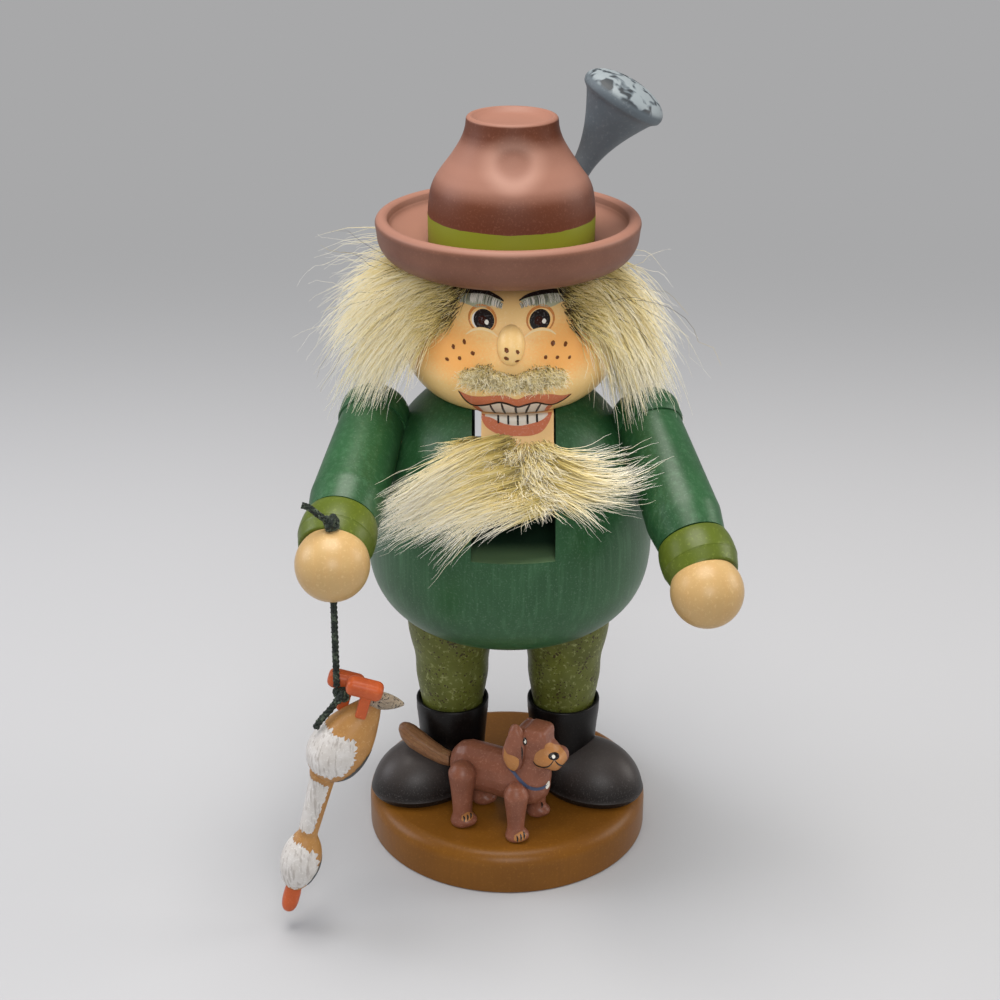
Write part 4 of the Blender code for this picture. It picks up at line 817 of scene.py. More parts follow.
brows = {
    -1: ([(-13.9, 154.0), (-12.1, 155.1), (-9.05, 156.0), (-5.7, 156.1), (-3.1, 155.3), (-1.8, 154.5)],
         [(-4.4, 153.4), (-7.2, 152.6), (-9.7, 152.9), (-12.35, 153.3)]),
    1: ([(13.9, 154.3), (11.8, 155.4), (9.5, 156.0), (6.1, 156.0), (3.5, 155.5), (1.8, 154.6)],
        [(3.5, 153.8), (6.8, 153.1), (9.1, 152.7), (11.8, 153.3)]),
}
draw = random.Random(11)
for side, (top, low) in brows.items():
    paintPatch("browGreyPaint", smoothLine(top + [top[-1]] + low + [top[0]], 5)[:-1], onHead, 0.05)
    line = smoothLine(top, 10)
    edge = line + [p + Vector((0, -0.3 - 0.55 * math.sin(math.pi * i / (len(line) - 1))))
                   for i, p in reversed(list(enumerate(line)))]
    paintPatch("blackBrushPaint", edge, onHead, 0.09)
    for i in range(1, len(line) - 1):
        for _ in range(2):
            start = line[i] + Vector((draw.uniform(-0.2, 0.2), -0.75))
            fall = 0.9 + 1.2 * math.sin(math.pi * i / len(line)) * draw.uniform(0.6, 1.0)
            tip = start + Vector((side * (0.25 + 0.35 * draw.random()), -fall))
            middle = (start + tip) / 2 + Vector((side * 0.12, 0.0))
            paint = "browShadePaint" if draw.random() < 0.55 else "whiteBrushPaint"
            paintPatch(paint, stroke([start, middle, tip], 0.17), onHead, 0.12)
for surface, lift, up, wider, taller, seed, spots in (
        (onHead, 0.06, 0.0, 0.78, 0.8, 0, (
            (-11.0, 145.3, 0.95, 1.5, 8), (-13.6, 143.7, 1.05, 1.4, 0), (-9.0, 143.0, 1.3, 1.2, 20),
            (-12.1, 141.4, 1.1, 1.2, 0), (-15.1, 140.5, 1.2, 1.1, 40), (9.8, 145.2, 1.25, 1.6, 5),
            (12.8, 144.6, 1.1, 1.5, -10), (8.1, 142.3, 1.1, 1.2, 0), (10.9, 141.9, 1.1, 1.1, 15),
            (13.8, 141.4, 0.9, 1.1, -30))),
        (onNose, 0.05, 0.9, 0.85, 0.85, 20, (
            (-1.1, 144.9, 1.2, 1.5, 15), (1.5, 144.4, 0.9, 1.5, 25), (-1.1, 142.8, 1.4, 1.2, -25),
            (1.4, 141.9, 1.3, 0.9, -5)))):
    for i, (x, z, wide, tall, turn) in enumerate(spots):
        spot = blob(x, z + up, wide * wider, tall * taller, turn, 0.25, i + seed)
        paintPatch("freckleBrownPaint", spot, surface, lift)
paintPatch("freckleBrownPaint", stroke([(-2.5, 147.5), (-2.15, 148.1), (-1.95, 148.6)], 0.45), onHead, 0.06)

lipTop = [(-12.4, 133.1), (-9.5, 132.2), (-6.6, 132.45), (-3.9, 133.0), (-1.3, 133.1), (1.4, 132.0), (3.8, 133.05),
          (6.4, 133.2), (9.6, 132.8), (12.3, 131.8), (14.6, 131.7)]
lipLine = [(-12.4, 133.1), (-10.8, 130.4), (-8.8, 129.0), (-5.9, 129.7), (-3.0, 130.9), (-1.0, 130.6),
           (1.6, 129.4), (3.8, 130.1), (6.2, 130.6), (9.7, 129.1), (12.4, 130.0), (14.4, 131.6)]
paintPatch("lipTerracotta", smoothLine(lipTop, 5) + smoothLine(lipLine, 5)[::-1][1:-1], onHead, 0.05)
paintPatch("blackBrushPaint", stroke(lipLine, 0.62, 0.35), onHead, 0.12)
biteZ = head["low"] + 0.02
upperTeeth = [(-8.8, 128.9), (-5.9, 129.6), (-3.0, 130.8), (-1.0, 130.5), (1.6, 129.3), (3.8, 130.0), (6.2, 130.5),
              (9.4, 129.0)]
paintPatch("toothPaint", smoothLine(upperTeeth, 4) + [Vector((8.7, biteZ)), Vector((-7.0, biteZ))], onHead, 0.05)
for (gapX, gapZ), lowX in (((-4.9, 129.9), -3.6), ((-2.2, 130.6), -1.2), ((1.15, 129.6), 1.5), ((4.55, 130.2), 3.6),
                           ((7.1, 130.0), 6.1)):
    middle = ((gapX + lowX) / 2 - 0.1, (gapZ + biteZ) / 2)
    paintPatch("blackBrushPaint", stroke([(gapX, gapZ), middle, (lowX, biteZ)], 0.55, 0.6), onHead, 0.1)
for cheek in ([(-8.8, 129.0), (-7.9, 128.0), (-6.8, biteZ)], [(9.7, 129.1), (9.0, 128.0), (8.5, biteZ)]):
    paintPatch("lipTerracotta", stroke(cheek, 1.2, 0.6), onHead, 0.08)
for name, paint in (
        ("face_black_lines", "blackBrushPaint"), ("face_whites", "whiteBrushPaint"), ("eye_rims", "eyeRimPaint"),
        ("eye_browns", "eyeBrownPaint"), ("eye_lids", "lidPaint"), ("eye_surrounds", "skinInEye"),
        ("brow_shade", "browShadePaint"), ("freckles", "freckleBrownPaint"), ("brows", "browGreyPaint"),
        ("upper_lip", "lipTerracotta"), ("upper_teeth", "toothPaint")):
    layPaint(name, brush[paint], "figure", paint)

innerLip = [(-6.1, 125.75), (-4.7, 125.6), (-2.7, 124.9), (-0.3, 124.35), (2.4, 124.2), (5.1, 124.5), (7.6, 124.95),
            (9.0, 125.75)]
outerLip = [(-6.9, 125.75), (-6.85, 125.0), (-5.6, 123.6), (-2.7, 122.5), (1.45, 122.2), (5.1, 122.2),
            (7.6, 122.8), (9.3, 124.4), (9.9, 125.75)]
paintTop = lever["paintTop"]
paintPatch("toothPaint", smoothLine(innerLip, 4) + [Vector((9.0, paintTop)), Vector((-6.1, paintTop))], onChin, 0.05)
for lipEnd in (((-7.0, paintTop), (-6.1, paintTop), (-6.1, 125.7), (-6.7, 125.7)),
               ((9.0, paintTop), (10.0, paintTop), (9.9, 125.7), (9.0, 125.7))):
    paintPatch("lipTerracotta", lipEnd, onChin, 0.08)
paintPatch("lipTerracotta", smoothLine(outerLip, 4) + smoothLine(innerLip, 4)[::-1], onChin, 0.08)
for x in (-2.96, -0.57, 1.72, 4.04, 6.32):
    low = 124.3 + abs(x - 1.7) * 0.07
    paintPatch("blackBrushPaint", stroke([(x, paintTop), (x + 0.03, 125.3), (x + 0.08, low)], 0.5, 0.8), onChin, 0.17)
for name, paint in (("lower_teeth", "toothPaint"), ("lower_lip", "lipTerracotta"), ("tooth_lines", "blackBrushPaint")):
    layPaint(name, brush[paint], "jaw", paint)


# Hat: turned brim and crown with a painted band, and a turned plume

hat = {"brimAside": -0.8, "bandHigh": 170.5, "dimple": (0.4, 185.2), "dimpleSize": 6.4, "dimpleDepth": 0.6,
       "plumeFoot": (16.6, 2.0, 181.1), "plumeLean": 30, "plumeTop": (0, 19.1), "plumeRound": (10.4, 4.5)}


def chestnutLitFromAbove(name, wall):
    # Chestnut-brown acrylic with painted light from above: the wall colour is painted shade on the steep sides, and a
    # pale rose-brown painted highlight lies on the slopes that face up.
    material, tree, place = paintedWood(name, wall, "#5A3022", "#A9745F", 0.48, (0.012, 0.35), (0.0005, 0.2), 0.02,
                                        0.25)
    overPaint(material, paintedTopLight(tree, 0.26, 0.62, 0.8), "#A17463")
    return material, tree, place


hatBrown, tree, place = chestnutLitFromAbove("chestnutPaintLitFromAbove", "#663824")
dimpleX, dimpleZ = hat["dimple"]
# A pale ring of painted highlight round the dent in front.
fromDent = addNode(tree, "VectorMath:SUBTRACT", (place, Vector((dimpleX, 0, dimpleZ)) * mm))
flatDent = addNode(tree, "VectorMath:MULTIPLY", (fromDent, (1, 0, 1.35)))
reachOut = addNode(tree, "VectorMath:LENGTH", (flatDent,))
rise = addNode(tree, "MapRange", (reachOut, 2.4 * mm, 5.4 * mm), **soft)
fall = addNode(tree, "MapRange", (reachOut, 5.0 * mm, 9.4 * mm, 0.34, 0.0), **soft)
inFront = addNode(tree, "Math:LESS_THAN", (addNode(tree, "SeparateXYZ", {"Vector": place}, "Y"), 0.0))
ring = addNode(tree, "Math:MULTIPLY", (rise, fall))
overPaint(hatBrown, addNode(tree, "Math:MULTIPLY", (ring, inFront)), "#C59A88")
# The lime green band, brushed round the crown's foot with an uneven upper edge.
height = addNode(tree, "SeparateXYZ", {"Vector": place}, "Z")
warp = addNode(tree, "TexNoise", {"Vector": place, "Scale": 260.0})
level = addNode(tree, "Math:MULTIPLY_ADD", (warp, 0.0005, height))
inBand = addNode(tree, "Math:LESS_THAN", (level, (hat["bandHigh"] + 0.25) * mm))
fromAxis = addNode(tree, "VectorMath:LENGTH", (addNode(tree, "VectorMath:MULTIPLY", (place, (1, 1, 0))),))
nearCrown = addNode(tree, "Math:LESS_THAN", (fromAxis, 20.16 * mm))
overPaint(hatBrown, addNode(tree, "Math:MULTIPLY", (inBand, nearCrown)), "#7D8420")
# The same paint on the brim, with a lighter painted shade on its steep sides.
brimBrown = chestnutLitFromAbove("chestnutPaintLitFromAboveBrim", "#7E5645")[0]

# Blue-grey matt paint; the flat end of the plume is dabbed with pale grey and black.
plumeGrey, tree, place = paintedWood("blueGreyPlumePaint", "#5E676D", "#50585E", "#8A9297", 0.5, (0.008, 0.5),
                                     (0.0008, 0.25))
atEnd = addNode(tree, "Attribute", take="Fac", attribute_name="tone")
dab = addNode(tree, "TexNoise", {"Vector": place, "Scale": 330.0, "Detail": 1.5, "Distortion": 0.5})
for low, high, strength, colour in ((0.46, 0.52, 0.85, "#8F989C"), (0.45, 0.42, 1.0, "#33383C")):
    spots = addNode(tree, "MapRange", (dab, low, high, 0, strength))
    overPaint(plumeGrey, addNode(tree, "Math:MULTIPLY", (spots, atEnd)), colour)

print("hat")
brim = smoothLine([(0, 163.4), (20.3, 163.4), (20.3, 163.4), (23.0, 164.3), (27.5, 166.4), (28.85, 168.1)], 6) + arc(
    (30.35, 168.25), (1.65, 1.65), 142, -20, 14) + smoothLine([
        (31.75, 166.6), (31.35, 163.9), (30.2, 161.7), (28.4, 160.2), (25.5, 158.9), (22.5, 158.35), (19.6, 158.3),
        (19.6, 158.3), (0, 158.3)], 6)
addTurned("brim", brim, "hat_brim", brimBrown, moved((hat["brimAside"], 0, 0)), 192)
crown = smoothLine([(0, 192.2), (4.5, 192.25), (7.6, 192.6), (9.3, 193.5)], 6) + arc(
    (10.0, 192.9), (0.95, 0.95), 125, 0, 8) + smoothLine([
        (11.1, 191.4), (11.6, 189.6), (12.6, 187.4), (14.6, 184.2), (16.7, 181.4), (18.3, 179.0), (19.4, 176.4),
        (19.9, 173.4), (20.1, 170.7), (20.15, 170.4), (20.15, 170.4), (20.1, 163.7), (20.1, 163.7), (0, 163.7)], 7)
crownMesh = turnedMesh("crown", crown, steps=224)
for vert in crownMesh.vertices:
    x, y, z = vert.co / mm
    if y < 0 and z > 171:
        # The dent is pressed in from the front and fades out softly.
        away = math.hypot(x - dimpleX, z - dimpleZ) / hat["dimpleSize"]
        vert.co.y += hat["dimpleDepth"] * math.exp(-(away * 1.45) ** 4) * mm
addPiece("crown", crownMesh, "figure", ["hat_crown"], hatBrown)
lean = math.radians(hat["plumeLean"])
plumePlace = aimed(hat["plumeFoot"], (math.sin(lean), 0, math.cos(lean)))
flare = [(2.6 + 7.8 * part ** 1.7, 19.1 * part) for part in (0.88, 0.76, 0.6, 0.45, 0.3, 0.15, 0.0)]
plume = [(0, 23.6)] + arc(hat["plumeTop"], hat["plumeRound"], 86, 6, 16) + smoothLine(
    [(10.42, 18.9), (10.1, 17.9)] + flare + [(2.6, -4.4)]) + [(0, -4.4)]
plumeMesh = turnedMesh("plume", plume, plumePlace)
toPlume = plumePlace.inverted()
tone = plumeMesh.attributes.new("tone", "FLOAT", "POINT")
for vert, value in zip(plumeMesh.vertices, tone.data):
    value.value = min(max(((toPlume @ vert.co).z / mm - 19.6) / 0.8, 0.0), 1.0)
addPiece("plume", plumeMesh, "figure", ["hat_plume"], plumeGrey)


# Fur: strips of real animal fur glued round the head, under the nose and on the chin

fur = {
    # strands per guide, spread at root and tip, frizz, size of its waves, thickness, shortest share, seed
    "tuft": (13, 1.2, 4.2, 3.0, 6.0, 0.12, 0.5, 3),
    "back": (9, 1.2, 2.6, 1.8, 7.0, 0.13, 0.6, 5),
    "moustache": (9, 0.9, 0.9, 1.6, 1.6, 0.1, 0.45, 7),
    "beardRoot": (9, 1.0, 1.8, 1.8, 2.6, 0.095, 0.5, 9),
    "beard": (12, 1.3, 3.0, 2.2, 8.0, 0.12, 0.5, 11),
    "stray": (1, 0.2, 1.5, 5.0, 9.0, 0.075, 0.7, 13),
}


def furTree():
    # Guide lines in, tapering hairs out: each guide is copied, and every copy drifts and frizzes on its own.
    tree = bpy.data.node_groups.new("fur", "GeometryNodeTree")
    face = tree.interface
    face.new_socket("Geometry", in_out="INPUT", socket_type="NodeSocketGeometry")
    for name, kind in (("Strands", "Int"), ("Root spread", "Float"), ("Tip spread", "Float"), ("Frizz", "Float"),
                       ("Wave size", "Float"), ("Thickness", "Float"), ("Shortest", "Float"), ("Seed", "Int")):
        face.new_socket(name, in_out="INPUT", socket_type="NodeSocket" + kind)
    face.new_socket("Fur", in_out="INPUT", socket_type="NodeSocketMaterial")
    face.new_socket("Geometry", in_out="OUTPUT", socket_type="NodeSocketGeometry")
    given = addNode(tree, "NodeGroupInput").node.outputs
    lines = addNode(tree, "GeometryNodeMeshToCurve", {"Mesh": given["Geometry"]})
    copies = addNode(tree, "GeometryNodeDuplicateElements", {"Geometry": lines, "Amount": given["Strands"]},
                     domain="SPLINE")

    def perStrand(low, high, step, kind="FLOAT_VECTOR"):
        seed = addNode(tree, "Math:ADD", (given["Seed"], float(step)))
        chance = addNode(tree, "FunctionNodeRandomValue", {"Min": low, "Max": high, "Seed": seed}, data_type=kind)
        return addNode(tree, "GeometryNodeFieldOnDomain", (chance,), data_type=kind, domain="CURVE")

    part = addNode(tree, "GeometryNodeSplineParameter")
    drift = perStrand((-1, -1, -1), (1, 1, 1), 1)
    spread = addNode(tree, "MapRange", (part, 0, 1, given["Root spread"], given["Tip spread"]))
    away = addNode(tree, "VectorMath:SCALE", {0: drift, "Scale": spread})
    place = addNode(tree, "GeometryNodeInputPosition")
    scaled = addNode(tree, "VectorMath:DIVIDE", (place, given["Wave size"]))
    own = addNode(tree, "VectorMath:SCALE", {0: drift, "Scale": 9.0})
    at = addNode(tree, "VectorMath:ADD", (scaled, own))
    noise = addNode(tree, "TexNoise", {"Vector": at, "Scale": 1.0, "Detail": 1.0}, "Color")
    centred = addNode(tree, "VectorMath:SUBTRACT", (noise, (0.5, 0.5, 0.5)))
    grow = addNode(tree, "Math:MULTIPLY", (part, given["Frizz"]))
    frizz = addNode(tree, "VectorMath:SCALE", {0: centred, "Scale": grow})
    offset = addNode(tree, "VectorMath:ADD", (away, frizz))
    hairs = addNode(tree, "GeometryNodeSetPosition", {"Geometry": copies, "Offset": offset})
    reach = perStrand(given["Shortest"], 1.0, 2, "FLOAT")
    hairs = addNode(tree, "GeometryNodeTrimCurve", {"Curve": hairs, "End": reach}, mode="FACTOR")
    along = addNode(tree, "GeometryNodeSplineParameter")
    for name, value in (("along", along), ("tone", perStrand(0.0, 1.0, 3, "FLOAT"))):
        hairs = addNode(tree, "GeometryNodeStoreNamedAttribute", {"Geometry": hairs, "Name": name, "Value": value},
                        domain="POINT")
    taper = addNode(tree, "Math:POWER", (along, 1.6))
    thin = addNode(tree, "MapRange", (taper, 0, 1, given["Thickness"], 0.02 * mm))
    ring = addNode(tree, "GeometryNodeCurvePrimitiveCircle", {"Resolution": 3, "Radius": 1.0})
    tubes = addNode(tree, "GeometryNodeCurveToMesh", {
        "Curve": hairs, "Profile Curve": ring, "Scale": thin, "Fill Caps": True})
    real = addNode(tree, "GeometryNodeRealizeInstances", {"Geometry": tubes})
    dressed = addNode(tree, "GeometryNodeSetMaterial", {"Geometry": real, "Material": given["Fur"]})
    addNode(tree, "NodeGroupOutput", {"Geometry": dressed})
    return tree


def addFur(name, kind, guides, replaced=(), body="figure"):
    # guides: (points in mm, shade) where shade 1 is the dark under-wool and 0 the pale top hair.
    mesh = bpy.data.meshes.new(name + "Guides")
    verts, edges, shades = [], [], []
    for points, shade in guides:
        start = len(verts)
        verts += [Vector(p) * mm for p in points]
        edges += [(start + i, start + i + 1) for i in range(len(points) - 1)]
        shades += [shade] * len(points)
    mesh.from_pydata(verts, edges, [])
    mesh.attributes.new("shade", "FLOAT", "POINT").data.foreach_set("value", shades)
    worker = inScene(name + "Guides", mesh)
    modifier = worker.modifiers.new("fur", "NODES")
    modifier.node_group = furNodes
    strands, root, tip, frizz, wave, thick, shortest, seed = fur[kind]
    values = {"Strands": strands, "Root spread": root * mm, "Tip spread": tip * mm, "Frizz": frizz * mm * 2,
              "Wave size": wave * mm, "Thickness": thick * mm, "Shortest": shortest, "Seed": seed, "Fur": furMaterial}
    for item in furNodes.interface.items_tree:
        if item.in_out == "INPUT" and item.name in values:
            modifier[item.identifier] = values[item.name]
    hairs = finished(worker, name)
    print("  ", name, len(hairs.polygons), "faces")
    return addPiece(name, hairs, body, replaced)


# Goat and badger-like fur, undyed: dark brown wool at the skin, olive gold above it, straw to cream tips.
# Evenly satin from root to tip.
furMaterial, tree, shader = newMaterial("undyedAnimalFur", "#CFC08F", 0.5, 0.35)
along, tone, shade = (addNode(tree, "Attribute", take="Fac", attribute_name=name)
                      for name in ("along", "tone", "shade"))
shift = addNode(tree, "MapRange", (tone, 0, 1, -0.14, 0.16))
step = addNode(tree, "Math:ADD", (along, shift))
lifted = addNode(tree, "Math:MULTIPLY_ADD", (step, 0.78, 0.22))
darker = addNode(tree, "Math:MULTIPLY_ADD", (shade, -0.5, lifted))
ramp = addNode(tree, "ValToRGB", {"Fac": darker}, "Color")
elements = ramp.node.color_ramp.elements
for i, (spot, colour) in enumerate(((0.0, "#4C3F2B"), (0.1, "#8C7C4E"), (0.25, "#CDB86C"), (0.48, "#F0DFA2"),
                                    (0.72, "#FCF3D4"), (1.0, "#FFFCF2"))):
    element = elements[i] if i < 2 else elements.new(spot)
    element.position = spot
    element.color = hexColour(colour)
tree.links.new(ramp, shader.inputs["Base Color"])

print("fur")
furNodes = furTree()


def spine(root, ahead, length, fall, bend=1.7, count=8):
    # Leaves along a direction and falls more and more.
    return [root + ahead * (length * t) - Vector((0, 0, fall * t ** bend))
            for t in (i / count for i in range(count + 1))]


def aroundHead(angle, z, lift=0.0):
    # Angle in degrees from straight ahead, positive to the figure's left.
    radius = headRadius(z) + lift
    return Vector((radius * math.sin(math.radians(angle)), -radius * math.cos(math.radians(angle)), z))


def tuftGuides(side, count, seed, outward, drop):
    draw = random.Random(seed)
    guides = []
    for _ in range(count):
        angle = 44 + 98 * draw.random() ** 0.9
        high = draw.random()
        root = aroundHead(side * angle, 144.5 + 13.0 * high, -0.5)
        front = min(max((angle - 44) / 26, 0.0), 1.0)
        out = Vector((root.x, root.y, 0)).normalized()
        flow = (out * 0.45 + Vector((side, 0.05, 0)) * 0.8).normalized()
        size = (0.3 + 0.7 * front) * (0.72 + 0.4 * draw.random())
        ahead = flow + Vector((0, 0, -0.2 + 0.74 * high))
        guides.append((spine(root, ahead, outward * size * (0.55 + 0.5 * high),
                             drop * size * (0.6 + 0.5 * draw.random()), 1.8),
                       0.15 * draw.random() + 0.2 * high + 0.5 * max(1 - front * 2.6, 0) * draw.random()))
    for _ in range(count // 3):
        # Short dark wool at the front edge.
        root = aroundHead(side * (39 + 12 * draw.random()), 147.5 + 10.0 * draw.random(), -0.3)
        out = Vector((root.x, root.y, 0)).normalized()
        guides.append((spine(root, out + Vector((side * 0.6, 0, 0.1)), 4.0 + 2 * draw.random(), 3.0, 1.5, 6), 0.75))
    return guides


for side, name, outward, drop, seed in ((-1, "right", 31.0, 31.0, 21), (1, "left", 23.5, 43.0, 22)):
    addFur("hair_" + name + "_fur", "tuft", tuftGuides(side, 215, seed, outward, drop), ["hair_" + name])
draw = random.Random(29)
strayGuides = []
for side, count, outward in ((-1, 46, 30.0), (1, 44, 24.0)):
    for _ in range(count):
        # Long loose hairs that stand away from the tufts, some dark and some pale.
        root = aroundHead(side * draw.uniform(58, 100), draw.uniform(147, 157.5), -0.5)
        ahead = Vector((side, draw.uniform(-0.3, 0.3), draw.uniform(-0.2, 0.95)))
        size = draw.uniform(0.7, 1.15)
        strayGuides.append((spine(root, ahead, outward * size, draw.uniform(6, 40) * size, 2.2, 14),
                            draw.choice((0.0, 0.1, 1.6))))
addFur("hair_strays_fur", "stray", strayGuides)
draw = random.Random(31)
backGuides = []
for _ in range(330):
    angle = 100 + 160 * draw.random()
    z = 132.0 + 25.2 * draw.random() ** 0.7
    root = aroundHead(angle, z, -0.4)
    out = Vector((root.x, root.y, 0)).normalized()
    backGuides.append((spine(root, out + Vector((0, 0, 0.25)), 4.5 + 2.5 * draw.random(),
                             6 + 0.7 * (z - 128) * (0.7 + 0.5 * draw.random()), 1.5), 0.25 * draw.random()))
addFur("hair_back_fur", "back", backGuides, ["hair_back"])
draw = random.Random(41)
lipGuides = []
for _ in range(420):
    x = -10.9 + 22.6 * draw.random()
    arch = 0.6 * math.cos((x - 0.6) / 8.0)
    tall = 5.6 * math.sqrt(1 - ((x - 0.4) / 12.2) ** 2)
    z = 137.2 + tall * (draw.random() - 0.5) + arch
    if abs(x - 0.2) < 4.4:
        z = min(z, 137.6 + 0.3 * abs(x - 0.2))
    root = onHead(x, z, -0.2)
    out = Vector((root.x, root.y, 0)).normalized()
    curl = Vector((draw.uniform(-1, 1), draw.uniform(-0.3, 0.2), draw.uniform(-1.0, 0.6)))
    middle = root + out * 2.0 + curl * 0.5
    tip = root + out * (2.6 + draw.random()) + curl * 1.7
    lipGuides.append((smoothLine([root, middle, tip], 4), 0.2 + 0.5 * draw.random()))
addFur("moustache_fur", "moustache", lipGuides, ["moustache"])

beardSweeps = (
    # root, two points between and the tip of each main sweep, mm
    ((-1.3, -26.2, 121.0), (-9.5, -29.5, 119.5), (-20.0, -33.5, 115.0), (-33.5, -38.0, 107.8)),
    ((-2.5, -29.0, 118.6), (-13.2, -31.0, 115.0), (-24.1, -33.0, 108.6), (-34.5, -36.0, 102.0)),
    ((0.4, -31.0, 115.9), (-9.6, -32.5, 113.2), (-21.6, -33.5, 107.0), (-33.5, -33.0, 100.5)),
    ((2.3, -32.8, 113.0), (-7.2, -34.5, 110.8), (-17.2, -35.5, 106.0), (-29.0, -34.5, 99.0)),
    ((4.7, -33.8, 111.4), (-4.0, -35.5, 109.6), (-13.5, -37.0, 106.4), (-24.0, -37.0, 100.0)),
    ((3.5, -33.8, 110.9), (-5.0, -35.5, 107.8), (-13.0, -37.0, 101.5), (-22.5, -37.0, 90.5)),
    ((8.2, -33.8, 110.2), (1.9, -36.0, 109.0), (-4.6, -37.5, 106.8), (-12.5, -38.5, 102.5)),
    ((7.0, -27.0, 120.0), (14.0, -27.5, 117.0), (23.0, -27.5, 116.0), (33.0, -26.0, 118.0)),
    ((9.5, -29.0, 116.5), (18.0, -29.5, 112.6), (27.5, -28.5, 111.0), (37.5, -27.0, 114.2)),
    ((9.4, -31.2, 113.4), (17.9, -31.5, 109.8), (26.0, -30.5, 107.4), (34.5, -28.5, 106.4)),
    ((9.0, -32.6, 111.2), (14.2, -33.5, 108.8), (19.1, -34.0, 105.0), (23.6, -33.5, 99.5)),
)
draw = random.Random(51)
beardGuides, beardRoots = [], []
for sweep, weight in zip(beardSweeps, (28, 38, 36, 20, 9, 6, 12, 11, 14, 8, 4)):
    line = smoothLine(sweep, 4)
    for _ in range(weight):
        shift = Vector((draw.uniform(-1.6, 1.6), draw.uniform(-1.2, 0.8), draw.uniform(-1.8, 1.8)))
        fan = Vector((draw.uniform(-2, 2), draw.uniform(-1.5, 1.0), draw.uniform(-2.8, 2.8)))
        size = draw.uniform(0.75, 1.03)
        points = [line[0].lerp(p, size) + shift * (1 - 0.4 * i / len(line)) + fan * (i / len(line)) ** 1.3
                  for i, p in enumerate(line)]
        beardGuides.append((points, 0.15 * draw.random()))
for _ in range(450):
    z = 108.5 + 13.0 * draw.random()
    x = -2.0 - 0.75 * (z - 108.5) + (11.8 + 0.7 * (z - 108.5)) * draw.random()
    root = onChin(x, z, 0.3 + 3.2 * draw.random())
    way = Vector(((x - 3) * 0.12 + draw.uniform(-0.6, 0.6), -0.7, -0.5 + draw.uniform(-0.6, 0.5)))
    tip = root + way * (3.2 + 2 * draw.random())
    middle = (root + tip) / 2 + Vector((draw.uniform(-1, 1), -1.0, draw.uniform(-0.5, 0.9)))
    beardRoots.append((smoothLine([root, middle, tip], 4), 0.1 + 0.2 * draw.random()))
for name, kind, guides in (("beard_fur", "beard", beardGuides), ("beard_wool", "beardRoot", beardRoots)):
    beardPiece = addFur(name, kind, guides, ["beard"], "jaw")
    beardPiece.parent = None
    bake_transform(beardPiece)


# Goose, hanging head down from its feet

goose = {
    "knot": (-40.82, -51.57, 67.17),
    "breast": (-4.7, 0.0, -21.6),        # from the knot, mm
    "bodyLean": 34.2, "neckLean": 14.4, "tailDip": 10.0, "feetTip": 16.0,
    "bodyLength": 24.5, "bodyRadius": 6.9,
    "foot": (8.8, 4.3, 4.4), "hindFoot": (2.0, 2.95, 2.2), "foreFoot": (6.9, -2.95, 3.5), "edge": 1.6,
    "leg": (2.6, 2.6, 6.4), "legFromFoot": (0.86, 0, -4.6), "legEdge": 0.5,
}

# Thin ochre paint on turned wood, brushed along the grain, satin.
gooseOchre = paintedWood("ochreBrushPaint", "#B4844A", "#94683A", "#D9B98A", 0.42, (0.006, 0.6), (0.0006, 0.3))[0]
# White paint dry-brushed over the ochre: grey-white with the bristle marks left in it.
gooseWhite, tree, place = paintedWood("dryBrushedWhitePaint", "#D3CFCB", "#BDB6AE", "#F4F2EE", 0.45, (0.003, 0.6),
                                      (0.0006, 0.4), 0.03)
overPaint(gooseWhite, streaks(tree, place, 0.12, 1500.0, 3.0), "#9A9088", 0.54, 0.66, 0.6)
# Thin dark slate dabbed on the shaded side, and red-orange brushed on the beak and feet, both satin.
gooseSlate = paintedWood("slateShadePaint", "#4C5254", "#3B4042", "#7C8282", 0.45, (0.004, 0.6), (0.0006, 0.3))[0]
gooseOrange = paintedWood("redOrangePaint", "#C25A2C", "#A64621", "#DE8A58", 0.38, (0.004, 0.6), (0.0006, 0.25))[0]
# Grey-brown tail with black scribbled feather lines.
tailPaint, tree, place = paintedWood("scribbledTailPaint", "#9C8D78", "#7D6F5E", "#C9BFB0", 0.45, (0.003, 0.6),
                                     (0.0006, 0.3))
scrawl = addNode(tree, "TexNoise", {"Vector": place, "Scale": 520.0, "Detail": 1.0, "Distortion": 1.6})
offLine = addNode(tree, "Math:ABSOLUTE", (addNode(tree, "Math:SUBTRACT", (scrawl, 0.5)),))
overPaint(tailPaint, addNode(tree, "Math:LESS_THAN", (offLine, 0.028)), "#2E2A28")


def wrapped(place, radiusAt, reach):
    # Lays (across, up) on a turned piece: across is along its girth from the line that faces the viewer.
    flat = place.to_3x3().inverted()
    facing = flat @ Vector((0, -1, 0))
    facing = Vector((facing.x, facing.y, 0)).normalized()
    right = flat @ Vector((1, 0, 0))
    right = Vector((right.x, right.y, 0))
    right = (right - facing * right.dot(facing)).normalized()

    def lay(across, up, lift):
        radius = radiusAt(up) + lift
        local = facing * (radius * math.cos(across / reach)) + right * (radius * math.sin(across / reach))
        return (place @ ((local + Vector((0, 0, up))) * mm)) / mm
    return lay


def radiusOn(profile):
    line = sorted(((p[1], p[0]) for p in profile), key=lambda p: p[0])

    def at(up):
        for (low, first), (high, second) in zip(line, line[1:]):
            if low <= up <= high and high > low:
                return first + (second - first) * (up - low) / (high - low)
        return line[0][1] if up < line[0][0] else line[-1][1]
    return at


